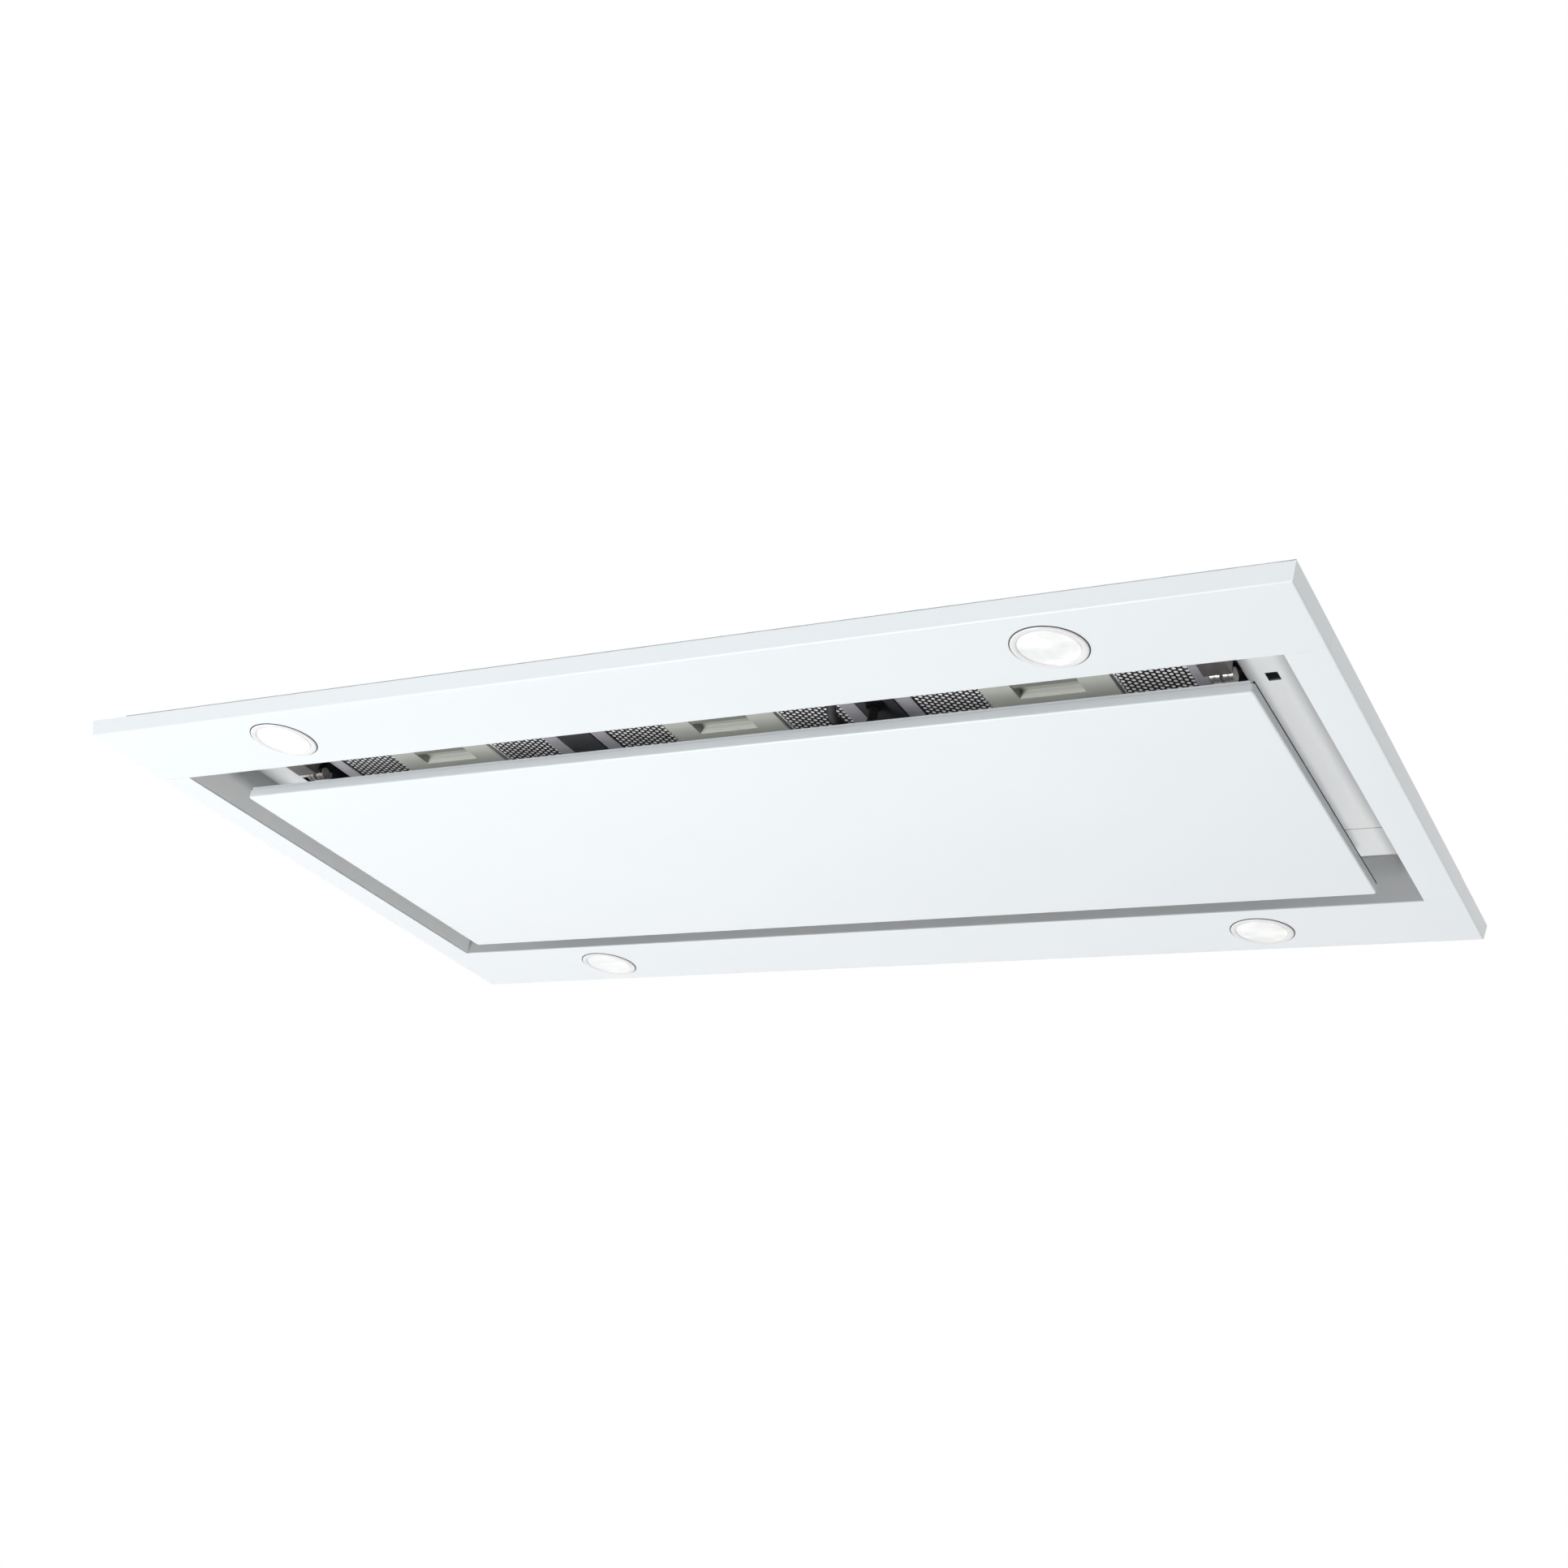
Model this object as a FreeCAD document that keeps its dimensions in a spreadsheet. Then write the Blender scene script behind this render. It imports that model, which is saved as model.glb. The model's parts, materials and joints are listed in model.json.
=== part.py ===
import FreeCAD, Part
import math
import os
import Sketcher
from types import SimpleNamespace

# Ceiling range hood: a white frame of four folded strips lies against the ceiling, and a
# hinged perimeter-suction panel hides three metal grease filters. Millimetres, +Z up.
# The origin is the centre of the ceiling plane, where the rims of the frame touch it.
# -Y is the side that swings down, +Y is the hinge side, and +X is to the right.

SIZES = {
    # overall
    "width": 900,
    "depth": 500,
    "sheet": 1.0,  # gauge of the folded body sheets
    # frame on the ceiling
    "rim_height": 12,  # ceiling to the visible face
    "rim_slant": 2,  # the rims lean in by this much towards the face
    "rim_bend": 1.5,  # outer bend radius at the face
    "side_margin": 28,  # width of the two short strips
    "end_margin": 75,  # width of the two long strips
    "seam": 0.3,  # butt seam between strips
    # recess and tray
    "recess_depth": 38,  # face to the underside of the tray
    "aperture_side": 21,  # aperture's edge outside the outer filters
    "aperture_end": 3,  # aperture's edge beyond the filters' ends
    "tray_slot_width": 8,
    "tray_slot_depth": 10,
    "tray_slot_inset": 16,  # slot centre, outward from the aperture's edge
    "tray_slot_rear": 53,  # slot centre, behind the aperture's near edge
    # body above the ceiling
    "body_inset_x": 17,  # body walls in from the frame's short edges
    "body_inset_y": 13,  # body walls in from the frame's long edges
    "body_top": 100,  # height of the top sheet over the ceiling plane
    # suction panel
    "panel_side_gap": 28,
    "panel_near_gap": 35,
    "panel_far_gap": 21,
    "panel_proud": 2,  # panel face below the frame's face
    "panel_flange": 8.5,
    "panel_sheet": 0.9,
    "panel_bend": 1.4,
    "back_sheet": 0.8,
    "back_inset": 0.5,  # the back sheet lies this far under the flange's edge
    "back_gap": 0.3,  # between the back sheet and the flange
    # panel hinges
    "hinge_inset": 10,  # pin in from the panel's far edge
    "hinge_rise": 9,  # pin over the panel's back sheet
    "hinge_spread": 330,  # each hinge from the centre line
    "pin_radius": 3,
    "running_gap": 0.05,  # radial clearance of pins and shafts
    "fixed_gap": 0.02,  # radial clearance where a pin is held
    "cheek_sheet": 3,
    "cheek_radius": 6.5,
    "cheek_gap": 3,  # between lug and cheek
    "lug_width": 6,
    "hinge_foot": 2,
    "hinge_foot_side": 12,  # arm foot beyond the lug, on each side
    "hinge_foot_reach": 22,  # arm foot in front of the pin
    "hinge_foot_tail": 6,  # arm foot behind the pin
    "hinge_base_reach": 26,  # bracket base behind the pin
    # ball-nosed catches and strikers
    "catch_clear": 2.5,  # catch block outside the outer filters
    "catch_width": 18,
    "catch_near": 7,  # catch block behind the aperture's near edge
    "catch_length": 18,
    "catch_drop": 12,  # block below the tray
    "catch_ear": 14,  # ear that lies on the tray
    "catch_ear_sheet": 2,
    "stem_radius": 2.5,
    "roller_radius": 4.5,
    "roller_length": 16,
    "roller_groove": 1.5,
    "groove_half": 1,
    "neck_half": 2,
    "roller_reach": 10,  # roller axis behind the block
    "roller_drop": 6,  # roller axis below the tray
    "striker_gap": 0.5,
    "striker_sheet": 2,
    "striker_width": 15,
    "striker_foot": 16,
    "striker_top_gap": 3,  # striker's top below the tray
    # grease filters
    "filter_side": 99,  # outer filters in from the hood's short edges
    "filter_end": 111,  # filters' ends in from the hood's long edges
    "filter_gap": 30,  # between two filters
    "filter_height": 9,
    "filter_border": 8,
    "filter_lip": 4,
    "filter_lip_sheet": 1,
    "filter_clear": 0.3,  # filter over the tray
    "tongue_width": 120,
    "tongue_sheet": 2,
    "tongue_overlap": 4,
    "mesh_gap": 0.3,
    # filter latches
    "latch_width": 90,
    "latch_depth": 58,
    "latch_drop": 0.8,  # latch plate below the filter frame
    "latch_height": 8.5,
    "pull_width": 46,
    "pull_depth": 18,
    "pull_height": 6,
    "pull_near": 27,  # pocket behind the latch's near edge
    "grip_depth": 4.6,
    "grip_height": 5,
    "nose_width": 27.4,
    "nose_height": 2.6,
    "nose_rise": 2.7,  # slot floor over the latch plate's face
    "slide_gap": 0.3,
    "keep_gap": 0.3,  # nose short of the aperture's edge
    # dividers between the filters
    "divider_gap": 1,  # each side of a divider to the filters
    "divider_height": 11,
    "divider_overlap": 8,
    # lamps
    "lamp_spread": 294,
    "lamp_inset": 37.5,
    "bezel_radius": 24,
    "bezel_sheet": 1.2,
    "bezel_lip": 19.2,  # radius of the bezel's window
    "bezel_tube": 21.3,
    "bezel_wall": 1.3,
    "bezel_height": 8,
    "lens_front": 0.2,  # lens face behind the bezel's face
    "lens_sheet": 1.2,
    "lens_shoulder": 19.8,
    "lamp_can_height": 22,
    "lamp_can_radius": 21.2,
    # blower box
    "box_width": 370,
    "box_near": 150,
    "box_far": 171,
    "box_height": 161,
    "box_foot": 12,
    # blower
    "blower_y": -15,
    "inlet_radius": 80,
    "inlet_wall": 2,
    "inlet_flange": 100,
    "inlet_flange_sheet": 1.2,
    "inlet_drop": 8,
    "inlet_rise": 5,
    "scroll_radius": 122,
    "scroll_wall": 1.5,
    "scroll_height": 153.8,
    "scroll_outlet": 150,
    "wheel_radius": 95,
    "wheel_band": 14,
    "wheel_gap": 3,  # wheel over the inlet throat
    "wheel_height": 91,
    "wheel_disc": 1.5,
    "wheel_disc_rise": 45,
    "blade_sheet": 1.0,
    "hub_radius": 12,
    "hub_height": 12,
    "shaft_radius": 5,
    "shaft_length": 32,
    "motor_radius": 44,
    "motor_gap": 11,  # motor over the wheel's disc
    "motor_height": 78,
    "motor_bore_depth": 14,
    "bracket_radius": 60,
    "bracket_sheet": 2,
    "bush_radius": 8,
    "bush_circle": 50,
    # duct outlet
    "collar_radius": 74.5,
    "collar_wall": 1.5,
    "collar_length": 60,
    "collar_flange": 77,
    "collar_flange_sheet": 1.5,
    "flap_setback": 9,  # flap pin behind the box's far wall
    "flap_radius": 71.5,
    "flap_sheet": 1.2,
    "flap_pin": 2,
    "flap_knuckle": 3.6,
    "flap_edge": 4.4,  # straight edge of each flap from the pin's axis
    "knuckle_length": 36,
    "knuckle_gap": 1,
    # control box
    "control_inset": 33,  # case in from the body's left wall
    "control_width": 175,
    "control_y": -110,
    "control_depth": 170,
    "control_height": 45,
    "control_wall": 2,
    "lead_bore": 4,
    "lead_rise": 22,
    # hanger brackets
    "hanger_inset_x": 43,  # hole in from the body's left and right walls
    "hanger_inset_y": 32,  # hole in from the body's near and far walls
    "hanger_half": 30,
    "hanger_step": 16,
    "hanger_rise": 18,
    "hanger_sheet": 2,
    "hanger_depth": 30,
    "hanger_hole": 4.5,
    # fasteners
    "screw_radius": 3.4,
    "screw_head": 1.8,
    "hanger_screw": 7,  # screw in from a hanger foot's end
    "side_screw": 9,  # screw in from the top sheet's short edges
    "end_screw": 8,  # screw in from the top sheet's long edges
    # lead under the tray
    "cable_radius": 3.2,
    "gland_radius": 6.5,
    "gland_height": 4,
    "lead_near": 14.5,  # near gland outside the aperture's near edge
    "lead_far": 33.5,  # far gland inside the aperture's near edge
    "lead_side": 2.5,  # near gland to the left of the right divider's middle
    "lead_run": 18,  # upright run under each gland
    "lead_loop": 10.8,  # lowest run over the frame's face
    "loop_near_side": 9.8,  # near corner of the lowest run, left of the right divider's middle
    "loop_near": 4,  # and outside the aperture's near edge
    "loop_far_side": 8.5,  # far corner of the lowest run, left of the right divider's middle
    "loop_far": 15,  # and inside the aperture's near edge
}

BLADES = 28
BUSHES = 3
FULL_TURN = 360
OVER = 1  # a cutting tool runs past its face by this much
LEVEL_TOLERANCE = 0.001
BOX_SCREWS_Y = (-130, -45, 45, 140)
TOP_SCREWS_X = (-300, -100, 100, 300)
SIDE_SCREWS_Y = (-110, 110)
LEAD_SETBACK = 0.45  # share of a run that each rounded corner may use

doc = FreeCAD.newDocument("CeilingHood")
Vector = FreeCAD.Vector
nodes = []


# ---------------------------------------------------------------- sizes and bindings
def fill_sheet():
    """Writes every driving size into a sheet cell that carries its name."""
    sheet = doc.addObject("Spreadsheet::Sheet", "Sizes")
    for row, (name, value) in enumerate(SIZES.items(), start=1):
        sheet.set(f"A{row}", name)
        sheet.set(f"B{row}", str(value))
        sheet.setAlias(f"B{row}", name)
    doc.recompute()


class Size:
    """A number together with the sheet formula that it comes from."""

    def __init__(self, value, formula):
        self.value = value
        self.formula = formula

    def __add__(self, other):
        other = as_size(other)
        return Size(self.value + other.value, f"({self.formula} + {other.formula})")

    def __sub__(self, other):
        other = as_size(other)
        return Size(self.value - other.value, f"({self.formula} - {other.formula})")

    def __mul__(self, other):
        other = as_size(other)
        return Size(self.value * other.value, f"{self.formula} * {other.formula}")

    def __truediv__(self, other):
        other = as_size(other)
        return Size(self.value / other.value, f"{self.formula} / {other.formula}")

    def __neg__(self):
        return Size(-self.value, f"(0 - {self.formula})")

    def __radd__(self, other):
        return as_size(other) + self

    def __rsub__(self, other):
        return as_size(other) - self

    def __rmul__(self, other):
        return as_size(other) * self


def as_size(amount):
    return amount if isinstance(amount, Size) else Size(amount, f"({amount})")


def bind(thing, prop, amount):
    """Ties a property to its formula of sheet cells."""
    thing.setExpression(prop, as_size(amount).formula)


fill_sheet()
S = SimpleNamespace(**{name: Size(value, f"Sizes.{name}") for name, value in SIZES.items()})


# ---------------------------------------------------------------- shape helpers
TURNS = {
    "x": FreeCAD.Rotation(Vector(0, 1, 0), 90),
    "y": FreeCAD.Rotation(Vector(1, 0, 0), -90),
    "z": FreeCAD.Rotation(),
}


def block(name, x, y, z):
    """A box between pairs of limits along the three axes."""
    made = doc.addObject("Part::Box", name)
    for side, axis, (low, high) in zip(("Length", "Width", "Height"), "xyz", (x, y, z)):
        bind(made, side, high - as_size(low))
        bind(made, f"Placement.Base.{axis}", low)
    return made


def rod(name, radius, axis, at, span):
    """A cylinder along one axis, at a place on the other two, between two limits."""
    made = doc.addObject("Part::Cylinder", name)
    made.Placement.Rotation = TURNS[axis]
    bind(made, "Radius", radius)
    bind(made, "Height", span[1] - as_size(span[0]))
    others = [letter for letter in "xyz" if letter != axis]
    bind(made, f"Placement.Base.{axis}", span[0])
    for letter, place in zip(others, at):
        bind(made, f"Placement.Base.{letter}", place)
    return made


def join(name, *pieces):
    """One solid from pieces that meet."""
    made = doc.addObject("Part::MultiFuse", name)
    made.Shapes = list(pieces)
    made.Refine = True
    return made


def cut(name, base, *tools):
    """The base less every tool."""
    made = doc.addObject("Part::Cut", name)
    made.Base = base
    made.Tool = tools[0] if len(tools) == 1 else join(f"{name}_tools", *tools)
    return made


def common(name, first, second):
    made = doc.addObject("Part::Common", name)
    made.Base = first
    made.Tool = second
    return made


def group(name, *pieces):
    """Separate solids kept in one sub-part."""
    made = doc.addObject("Part::Compound", name)
    made.Links = list(pieces)
    return made


def node(label, made):
    """Names a finished sub-part and lists it for export."""
    made.Label = label
    nodes.append(made)
    return made


def mirrored(sign, low, high):
    """A pair of limits on the right, or the same pair mirrored to the left."""
    return (low, high) if sign > 0 else (-as_size(high), -as_size(low))


def start_sketch(body, role, name, rise=0):
    """A sketch on one of the body's own origin planes, lifted along its normal."""
    sketch = body.newObject("Sketcher::SketchObject", name)
    plane = next(item for item in body.Origin.OriginFeatures if item.Role == role)
    sketch.AttachmentSupport = [(plane, "")]
    sketch.MapMode = "FlatFace"
    bind(sketch, "AttachmentOffset.Base.z", rise)
    return sketch


def hold(sketch, kind, shape, point, amount):
    """Ties a sketch point to the origin along one axis."""
    amount = as_size(amount)
    index = sketch.addConstraint(Sketcher.Constraint(kind, -1, 1, shape, point, amount.value))
    sketch.renameConstraint(index, f"{kind}_{shape}")
    bind(sketch, f"Constraints.{kind}_{shape}", amount)


def draw_outline(sketch, points):
    """A closed outline of straight sides, every corner tied to the sheet."""
    first = sketch.GeometryCount
    corners = [Vector(as_size(u).value, as_size(v).value, 0) for u, v in points]
    for start, end in zip(corners, corners[1:] + corners[:1]):
        sketch.addGeometry(Part.LineSegment(start, end), False)
    for index, (u, v) in enumerate(points):
        shape = first + index
        following = first + (index + 1) % len(points)
        sketch.addConstraint(Sketcher.Constraint("Coincident", shape, 2, following, 1))
        hold(sketch, "DistanceX", shape, 1, u)
        hold(sketch, "DistanceY", shape, 1, v)


def draw_circle(sketch, radius, u, v):
    radius = as_size(radius)
    centre = Vector(as_size(u).value, as_size(v).value, 0)
    shape = sketch.addGeometry(Part.Circle(centre, Vector(0, 0, 1), radius.value), False)
    index = sketch.addConstraint(Sketcher.Constraint("Radius", shape, radius.value))
    sketch.renameConstraint(index, f"Radius_{shape}")
    bind(sketch, f"Constraints.Radius_{shape}", radius)
    hold(sketch, "DistanceX", shape, 3, u)
    hold(sketch, "DistanceY", shape, 3, v)


def rectangle(u, v):
    return [(u[0], v[0]), (u[1], v[0]), (u[1], v[1]), (u[0], v[1])]


def pad(body, sketch, length, name="Pad"):
    made = body.newObject("PartDesign::Pad", name)
    made.Profile = sketch
    bind(made, "Length", length)
    return made


def folded(name, role, outline, span, holes=()):
    """A sheet fold or plate: an outline, with round holes, padded between two limits."""
    body = doc.addObject("PartDesign::Body", name)
    sketch = start_sketch(body, role, f"{name}_outline")
    draw_outline(sketch, outline)
    for hole in holes:
        draw_circle(sketch, *hole)
    pad(body, sketch, span[1] - as_size(span[0]), f"{name}_pad")
    if role == "XZ_Plane":
        bind(body, "Placement.Base.y", span[1])
    else:
        bind(body, "Placement.Base.z" if role == "XY_Plane" else "Placement.Base.x", span[0])
    return body


def turned(name, outline, x, y, z):
    """A body of revolution about a vertical axis; the outline gives radius and height."""
    body = doc.addObject("PartDesign::Body", name)
    sketch = start_sketch(body, "XZ_Plane", f"{name}_outline")
    draw_outline(sketch, outline)
    spin = body.newObject("PartDesign::Revolution", f"{name}_turn")
    spin.Profile = sketch
    spin.ReferenceAxis = (sketch, ["V_Axis"])
    spin.Angle = FULL_TURN
    for axis, place in zip("xyz", (x, y, z)):
        bind(body, f"Placement.Base.{axis}", place)
    return body


# ---------------------------------------------------------------- shared levels and edges
FACE = -S.rim_height
STRIP_BACK = FACE + S.sheet
OPEN_X = S.width / 2 - S.side_margin
OPEN_Y = S.depth / 2 - S.end_margin
TRAY_LOW = FACE + S.recess_depth
TRAY_HIGH = TRAY_LOW + S.sheet
FILTERS_X = S.width / 2 - S.filter_side  # outer edge of the outer filters
FILTER_HALF_X = (FILTERS_X - S.filter_gap) / 3
FILTER_HALF_Y = S.depth / 2 - S.filter_end
PITCH = 2 * FILTER_HALF_X + S.filter_gap
HOLE_X = FILTERS_X + S.aperture_side
HOLE_Y = FILTER_HALF_Y + S.aperture_end
PANEL_FACE = FACE - S.panel_proud
PANEL_X = OPEN_X - S.panel_side_gap
PANEL_NEAR = S.panel_near_gap - OPEN_Y
PANEL_FAR = OPEN_Y - S.panel_far_gap
PANEL_TOP = PANEL_FACE + S.panel_flange
BACK_TOP = PANEL_TOP - S.back_inset
PIN_Y = PANEL_FAR - S.hinge_inset
PIN_Z = BACK_TOP + S.hinge_rise
BODY_X = S.width / 2 - S.body_inset_x
BODY_Y = S.depth / 2 - S.body_inset_y
HANGER_X = BODY_X - S.hanger_inset_x
HANGER_Y = BODY_Y - S.hanger_inset_y
CATCH_X = FILTERS_X + S.catch_clear + S.catch_width / 2
DECK = S.body_top + S.sheet  # upper face of the body's top sheet
SCROLL_LOW = DECK + S.inlet_flange_sheet
SCROLL_HIGH = SCROLL_LOW + S.scroll_height
OUTLET_X = S.scroll_radius - S.scroll_outlet / 2
OUTLET_Z = SCROLL_LOW + S.scroll_height / 2


# ---------------------------------------------------------------- frame on the ceiling
def frame_pan(name, inset, top, bottom):
    """A shallow pan with slanted rims, inset from the frame's outer surface."""
    made = doc.addObject("Part::Wedge", name)
    made.Placement.Rotation = FreeCAD.Rotation(Vector(1, 0, 0), -90)
    half_x = S.width / 2 - inset
    half_y = S.depth / 2 - inset
    limits = {
        "Xmin": -half_x,
        "Xmax": half_x,
        "X2min": S.rim_slant - half_x,
        "X2max": half_x - S.rim_slant,
        "Ymin": top,
        "Ymax": bottom,
        "Zmin": -half_y,
        "Zmax": half_y,
        "Z2min": S.rim_slant - half_y,
        "Z2max": half_y - S.rim_slant,
    }
    for prop, amount in limits.items():
        bind(made, prop, amount)
    return made


def bend_edges(name, base, level, radius):
    """Rounds the edges of a pan that lie at one level."""
    doc.recompute()
    made = doc.addObject("Part::Fillet", name)
    made.Base = base
    edges = []
    for index, edge in enumerate(base.Shape.Edges, start=1):
        if all(abs(corner.Z - level.value) < LEVEL_TOLERANCE for corner in edge.Vertexes):
            edges.append((index, radius.value, radius.value))
    made.Edges = edges
    return made


def frame_strips():
    """Four strips cut from one pan: two long ones, and two short ones between them."""
    long_far = S.depth / 2 + OVER
    side_far = S.width / 2 + OVER
    joint = OPEN_Y + S.seam / 2
    regions = {
        "front_strip": ((-side_far, side_far), (-long_far, -joint)),
        "rear_strip": ((-side_far, side_far), (joint, long_far)),
        "left_strip": ((-side_far, -OPEN_X), (S.seam / 2 - OPEN_Y, OPEN_Y - S.seam / 2)),
        "right_strip": ((OPEN_X, side_far), (S.seam / 2 - OPEN_Y, OPEN_Y - S.seam / 2)),
    }
    for label, (x, y) in regions.items():
        outer = frame_pan(f"{label}_outer", as_size(0), as_size(0), S.rim_height)
        bent = bend_edges(f"{label}_bent", outer, FACE, S.rim_bend)
        inner = frame_pan(f"{label}_inner", S.sheet, as_size(-OVER), S.rim_height - S.sheet)
        shell = cut(f"{label}_shell", bent, inner)
        region = block(f"{label}_region", x, y, (FACE - OVER, OVER))
        strip = common(f"{label}_part", shell, region)
        if label in ("front_strip", "rear_strip"):
            sign = -1 if label == "front_strip" else 1
            lamp_y = (S.depth / 2 - S.lamp_inset) * sign
            holes = []
            for side, letter in ((-1, "a"), (1, "b")):
                hole = rod(
                    f"{label}_lamp_hole_{letter}",
                    S.bezel_tube + S.slide_gap,
                    "z",
                    (S.lamp_spread * side, lamp_y),
                    (FACE - OVER, as_size(0)),
                )
                holes.append(hole)
            strip = cut(f"{label}_drilled", strip, *holes)
        node(label, strip)


# ---------------------------------------------------------------- recess, tray and body
def recess_sheets():
    """Sheets that line the recess: two folded ones, and two walls with a slotted tray plate."""
    for label, sign in (("recess_front", -1), ("recess_rear", 1)):
        edge = OPEN_Y * sign
        rim = (OPEN_Y + S.sheet) * sign
        inner = HOLE_Y * sign
        outline = [
            (rim, STRIP_BACK),
            (edge, STRIP_BACK),
            (edge, TRAY_LOW),
            (inner, TRAY_LOW),
            (inner, TRAY_HIGH),
            (rim, TRAY_HIGH),
        ]
        node(label, folded(f"{label}_fold", "YZ_Plane", outline, (-OPEN_X, OPEN_X)))
    for label, sign in (("recess_left", -1), ("recess_right", 1)):
        wall = block(
            f"{label}_wall",
            mirrored(sign, OPEN_X, OPEN_X + S.sheet),
            (-OPEN_Y, OPEN_Y),
            (STRIP_BACK, TRAY_HIGH),
        )
        tray = block(
            f"{label}_tray",
            mirrored(sign, HOLE_X, OPEN_X),
            (-HOLE_Y, HOLE_Y),
            (TRAY_LOW, TRAY_HIGH),
        )
        slot_x = HOLE_X + S.tray_slot_inset
        slot_y = S.tray_slot_rear - HOLE_Y
        slot = block(
            f"{label}_slot",
            mirrored(sign, slot_x - S.tray_slot_width / 2, slot_x + S.tray_slot_width / 2),
            (slot_y - S.tray_slot_depth / 2, slot_y + S.tray_slot_depth / 2),
            (TRAY_LOW - OVER, TRAY_HIGH + OVER),
        )
        node(label, group(f"{label}_sheets", wall, cut(f"{label}_plate", tray, slot)))


def body_sheets():
    """The box above the ceiling: four walls and a top sheet with the blower's inlet."""
    height = (STRIP_BACK, S.body_top)
    for label, sign in (("body_left", -1), ("body_right", 1)):
        x = mirrored(sign, BODY_X - S.sheet, BODY_X)
        node(label, block(f"{label}_wall", x, (S.sheet - BODY_Y, BODY_Y - S.sheet), height))
    for label, sign in (("body_front", -1), ("body_rear", 1)):
        y = mirrored(sign, BODY_Y - S.sheet, BODY_Y)
        node(label, block(f"{label}_wall", (-BODY_X, BODY_X), y, height))
    inlet = (S.inlet_radius + S.inlet_wall + S.slide_gap, 0, S.blower_y)
    outline = rectangle((-BODY_X, BODY_X), (-BODY_Y, BODY_Y))
    node("body_top", folded("top_sheet", "XY_Plane", outline, (S.body_top, DECK), [inlet]))


def blower_box():
    """The box on top: a folded cover with feet, and its near and far plates."""
    half = S.box_width / 2
    top = DECK + S.box_height
    foot = half + S.box_foot
    outline = [
        (-foot, DECK),
        (S.sheet - half, DECK),
        (S.sheet - half, top - S.sheet),
        (half - S.sheet, top - S.sheet),
        (half - S.sheet, DECK),
        (foot, DECK),
        (foot, DECK + S.sheet),
        (half, DECK + S.sheet),
        (half, top),
        (-half, top),
        (-half, DECK + S.sheet),
        (-foot, DECK + S.sheet),
    ]
    y = (S.sheet - S.box_near, S.box_far - S.sheet)
    node("box_cover", folded("cover_fold", "XZ_Plane", outline, y))
    plate = rectangle((-half, half), (DECK, top))
    near = (-S.box_near, S.sheet - S.box_near)
    node("box_front", folded("front_plate", "XZ_Plane", plate, near))
    outlet = (S.collar_radius - S.collar_wall, OUTLET_X, OUTLET_Z)
    far = (S.box_far - S.sheet, S.box_far)
    node("box_rear", folded("rear_plate", "XZ_Plane", plate, far, [outlet]))


# ---------------------------------------------------------------- blower
def inlet_ring():
    """Bell-mouth throat that leads the air into the wheel."""
    at = (as_size(0), S.blower_y)
    outer = S.inlet_radius + S.inlet_wall
    throat = rod("throat_out", outer, "z", at, (DECK - S.inlet_drop, DECK + S.inlet_rise))
    flange = rod("throat_flange", S.inlet_flange, "z", at, (DECK, SCROLL_LOW))
    span = (DECK - S.inlet_drop - OVER, DECK + S.inlet_rise + OVER)
    bore = rod("throat_bore", S.inlet_radius, "z", at, span)
    node("inlet_ring", cut("throat", join("throat_body", throat, flange), bore))


def scroll_housing():
    """Round fan casing with a square outlet towards the duct collar."""
    wall = S.scroll_wall
    at = (as_size(0), S.blower_y)
    far = S.box_far - S.sheet
    right = S.scroll_radius
    left = S.scroll_radius - S.scroll_outlet
    drum = rod("casing_drum", S.scroll_radius, "z", at, (SCROLL_LOW, SCROLL_HIGH))
    duct = block("casing_duct", (left, right), (S.blower_y, far), (SCROLL_LOW, SCROLL_HIGH))
    height = (SCROLL_LOW + wall, SCROLL_HIGH - wall)
    hollow = rod("casing_hollow", S.scroll_radius - wall, "z", at, height)
    way = block("casing_way", (left + wall, right - wall), (S.blower_y, far + OVER), height)
    inlet_radius = S.inlet_radius + S.inlet_wall + S.slide_gap
    inlet = rod("casing_inlet", inlet_radius, "z", at, (SCROLL_LOW - OVER, SCROLL_LOW + wall + OVER))
    node("scroll_housing", cut("casing", join("casing_body", drum, duct), hollow, way, inlet))


def fan_wheel():
    """Wheel of upright blades about a disc, with a hub and two end rings."""
    body = doc.addObject("PartDesign::Body", "wheel")
    inner = S.wheel_radius - S.wheel_band
    bore = S.shaft_radius + S.fixed_gap
    disc = start_sketch(body, "XY_Plane", "disc_outline", S.wheel_disc_rise)
    draw_circle(disc, S.wheel_radius, 0, 0)
    draw_circle(disc, bore, 0, 0)
    pad(body, disc, S.wheel_disc, "disc")
    hub = start_sketch(body, "XY_Plane", "hub_outline", S.wheel_disc_rise - S.hub_height)
    draw_circle(hub, S.hub_radius, 0, 0)
    draw_circle(hub, bore, 0, 0)
    pad(body, hub, S.hub_height, "hub")
    blade = start_sketch(body, "XY_Plane", "blade_outline")
    half = S.blade_sheet / 2
    draw_outline(blade, rectangle((inner, S.wheel_radius), (-half, half)))
    one = pad(body, blade, S.wheel_height, "blade")
    doc.recompute()
    row = body.newObject("PartDesign::PolarPattern", "blades")
    row.Originals = [one]
    row.Axis = (blade, ["N_Axis"])
    row.Angle = FULL_TURN
    row.Occurrences = BLADES
    body.Tip = row
    doc.recompute()
    for name, rise in (("low_ring", as_size(0)), ("high_ring", S.wheel_height - S.wheel_disc)):
        ring = start_sketch(body, "XY_Plane", f"{name}_outline", rise)
        draw_circle(ring, S.wheel_radius, 0, 0)
        draw_circle(ring, inner, 0, 0)
        pad(body, ring, S.wheel_disc, name)
    bind(body, "Placement.Base.y", S.blower_y)
    bind(body, "Placement.Base.z", DECK + S.inlet_rise + S.wheel_gap)
    return node("fan_wheel", body)


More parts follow.
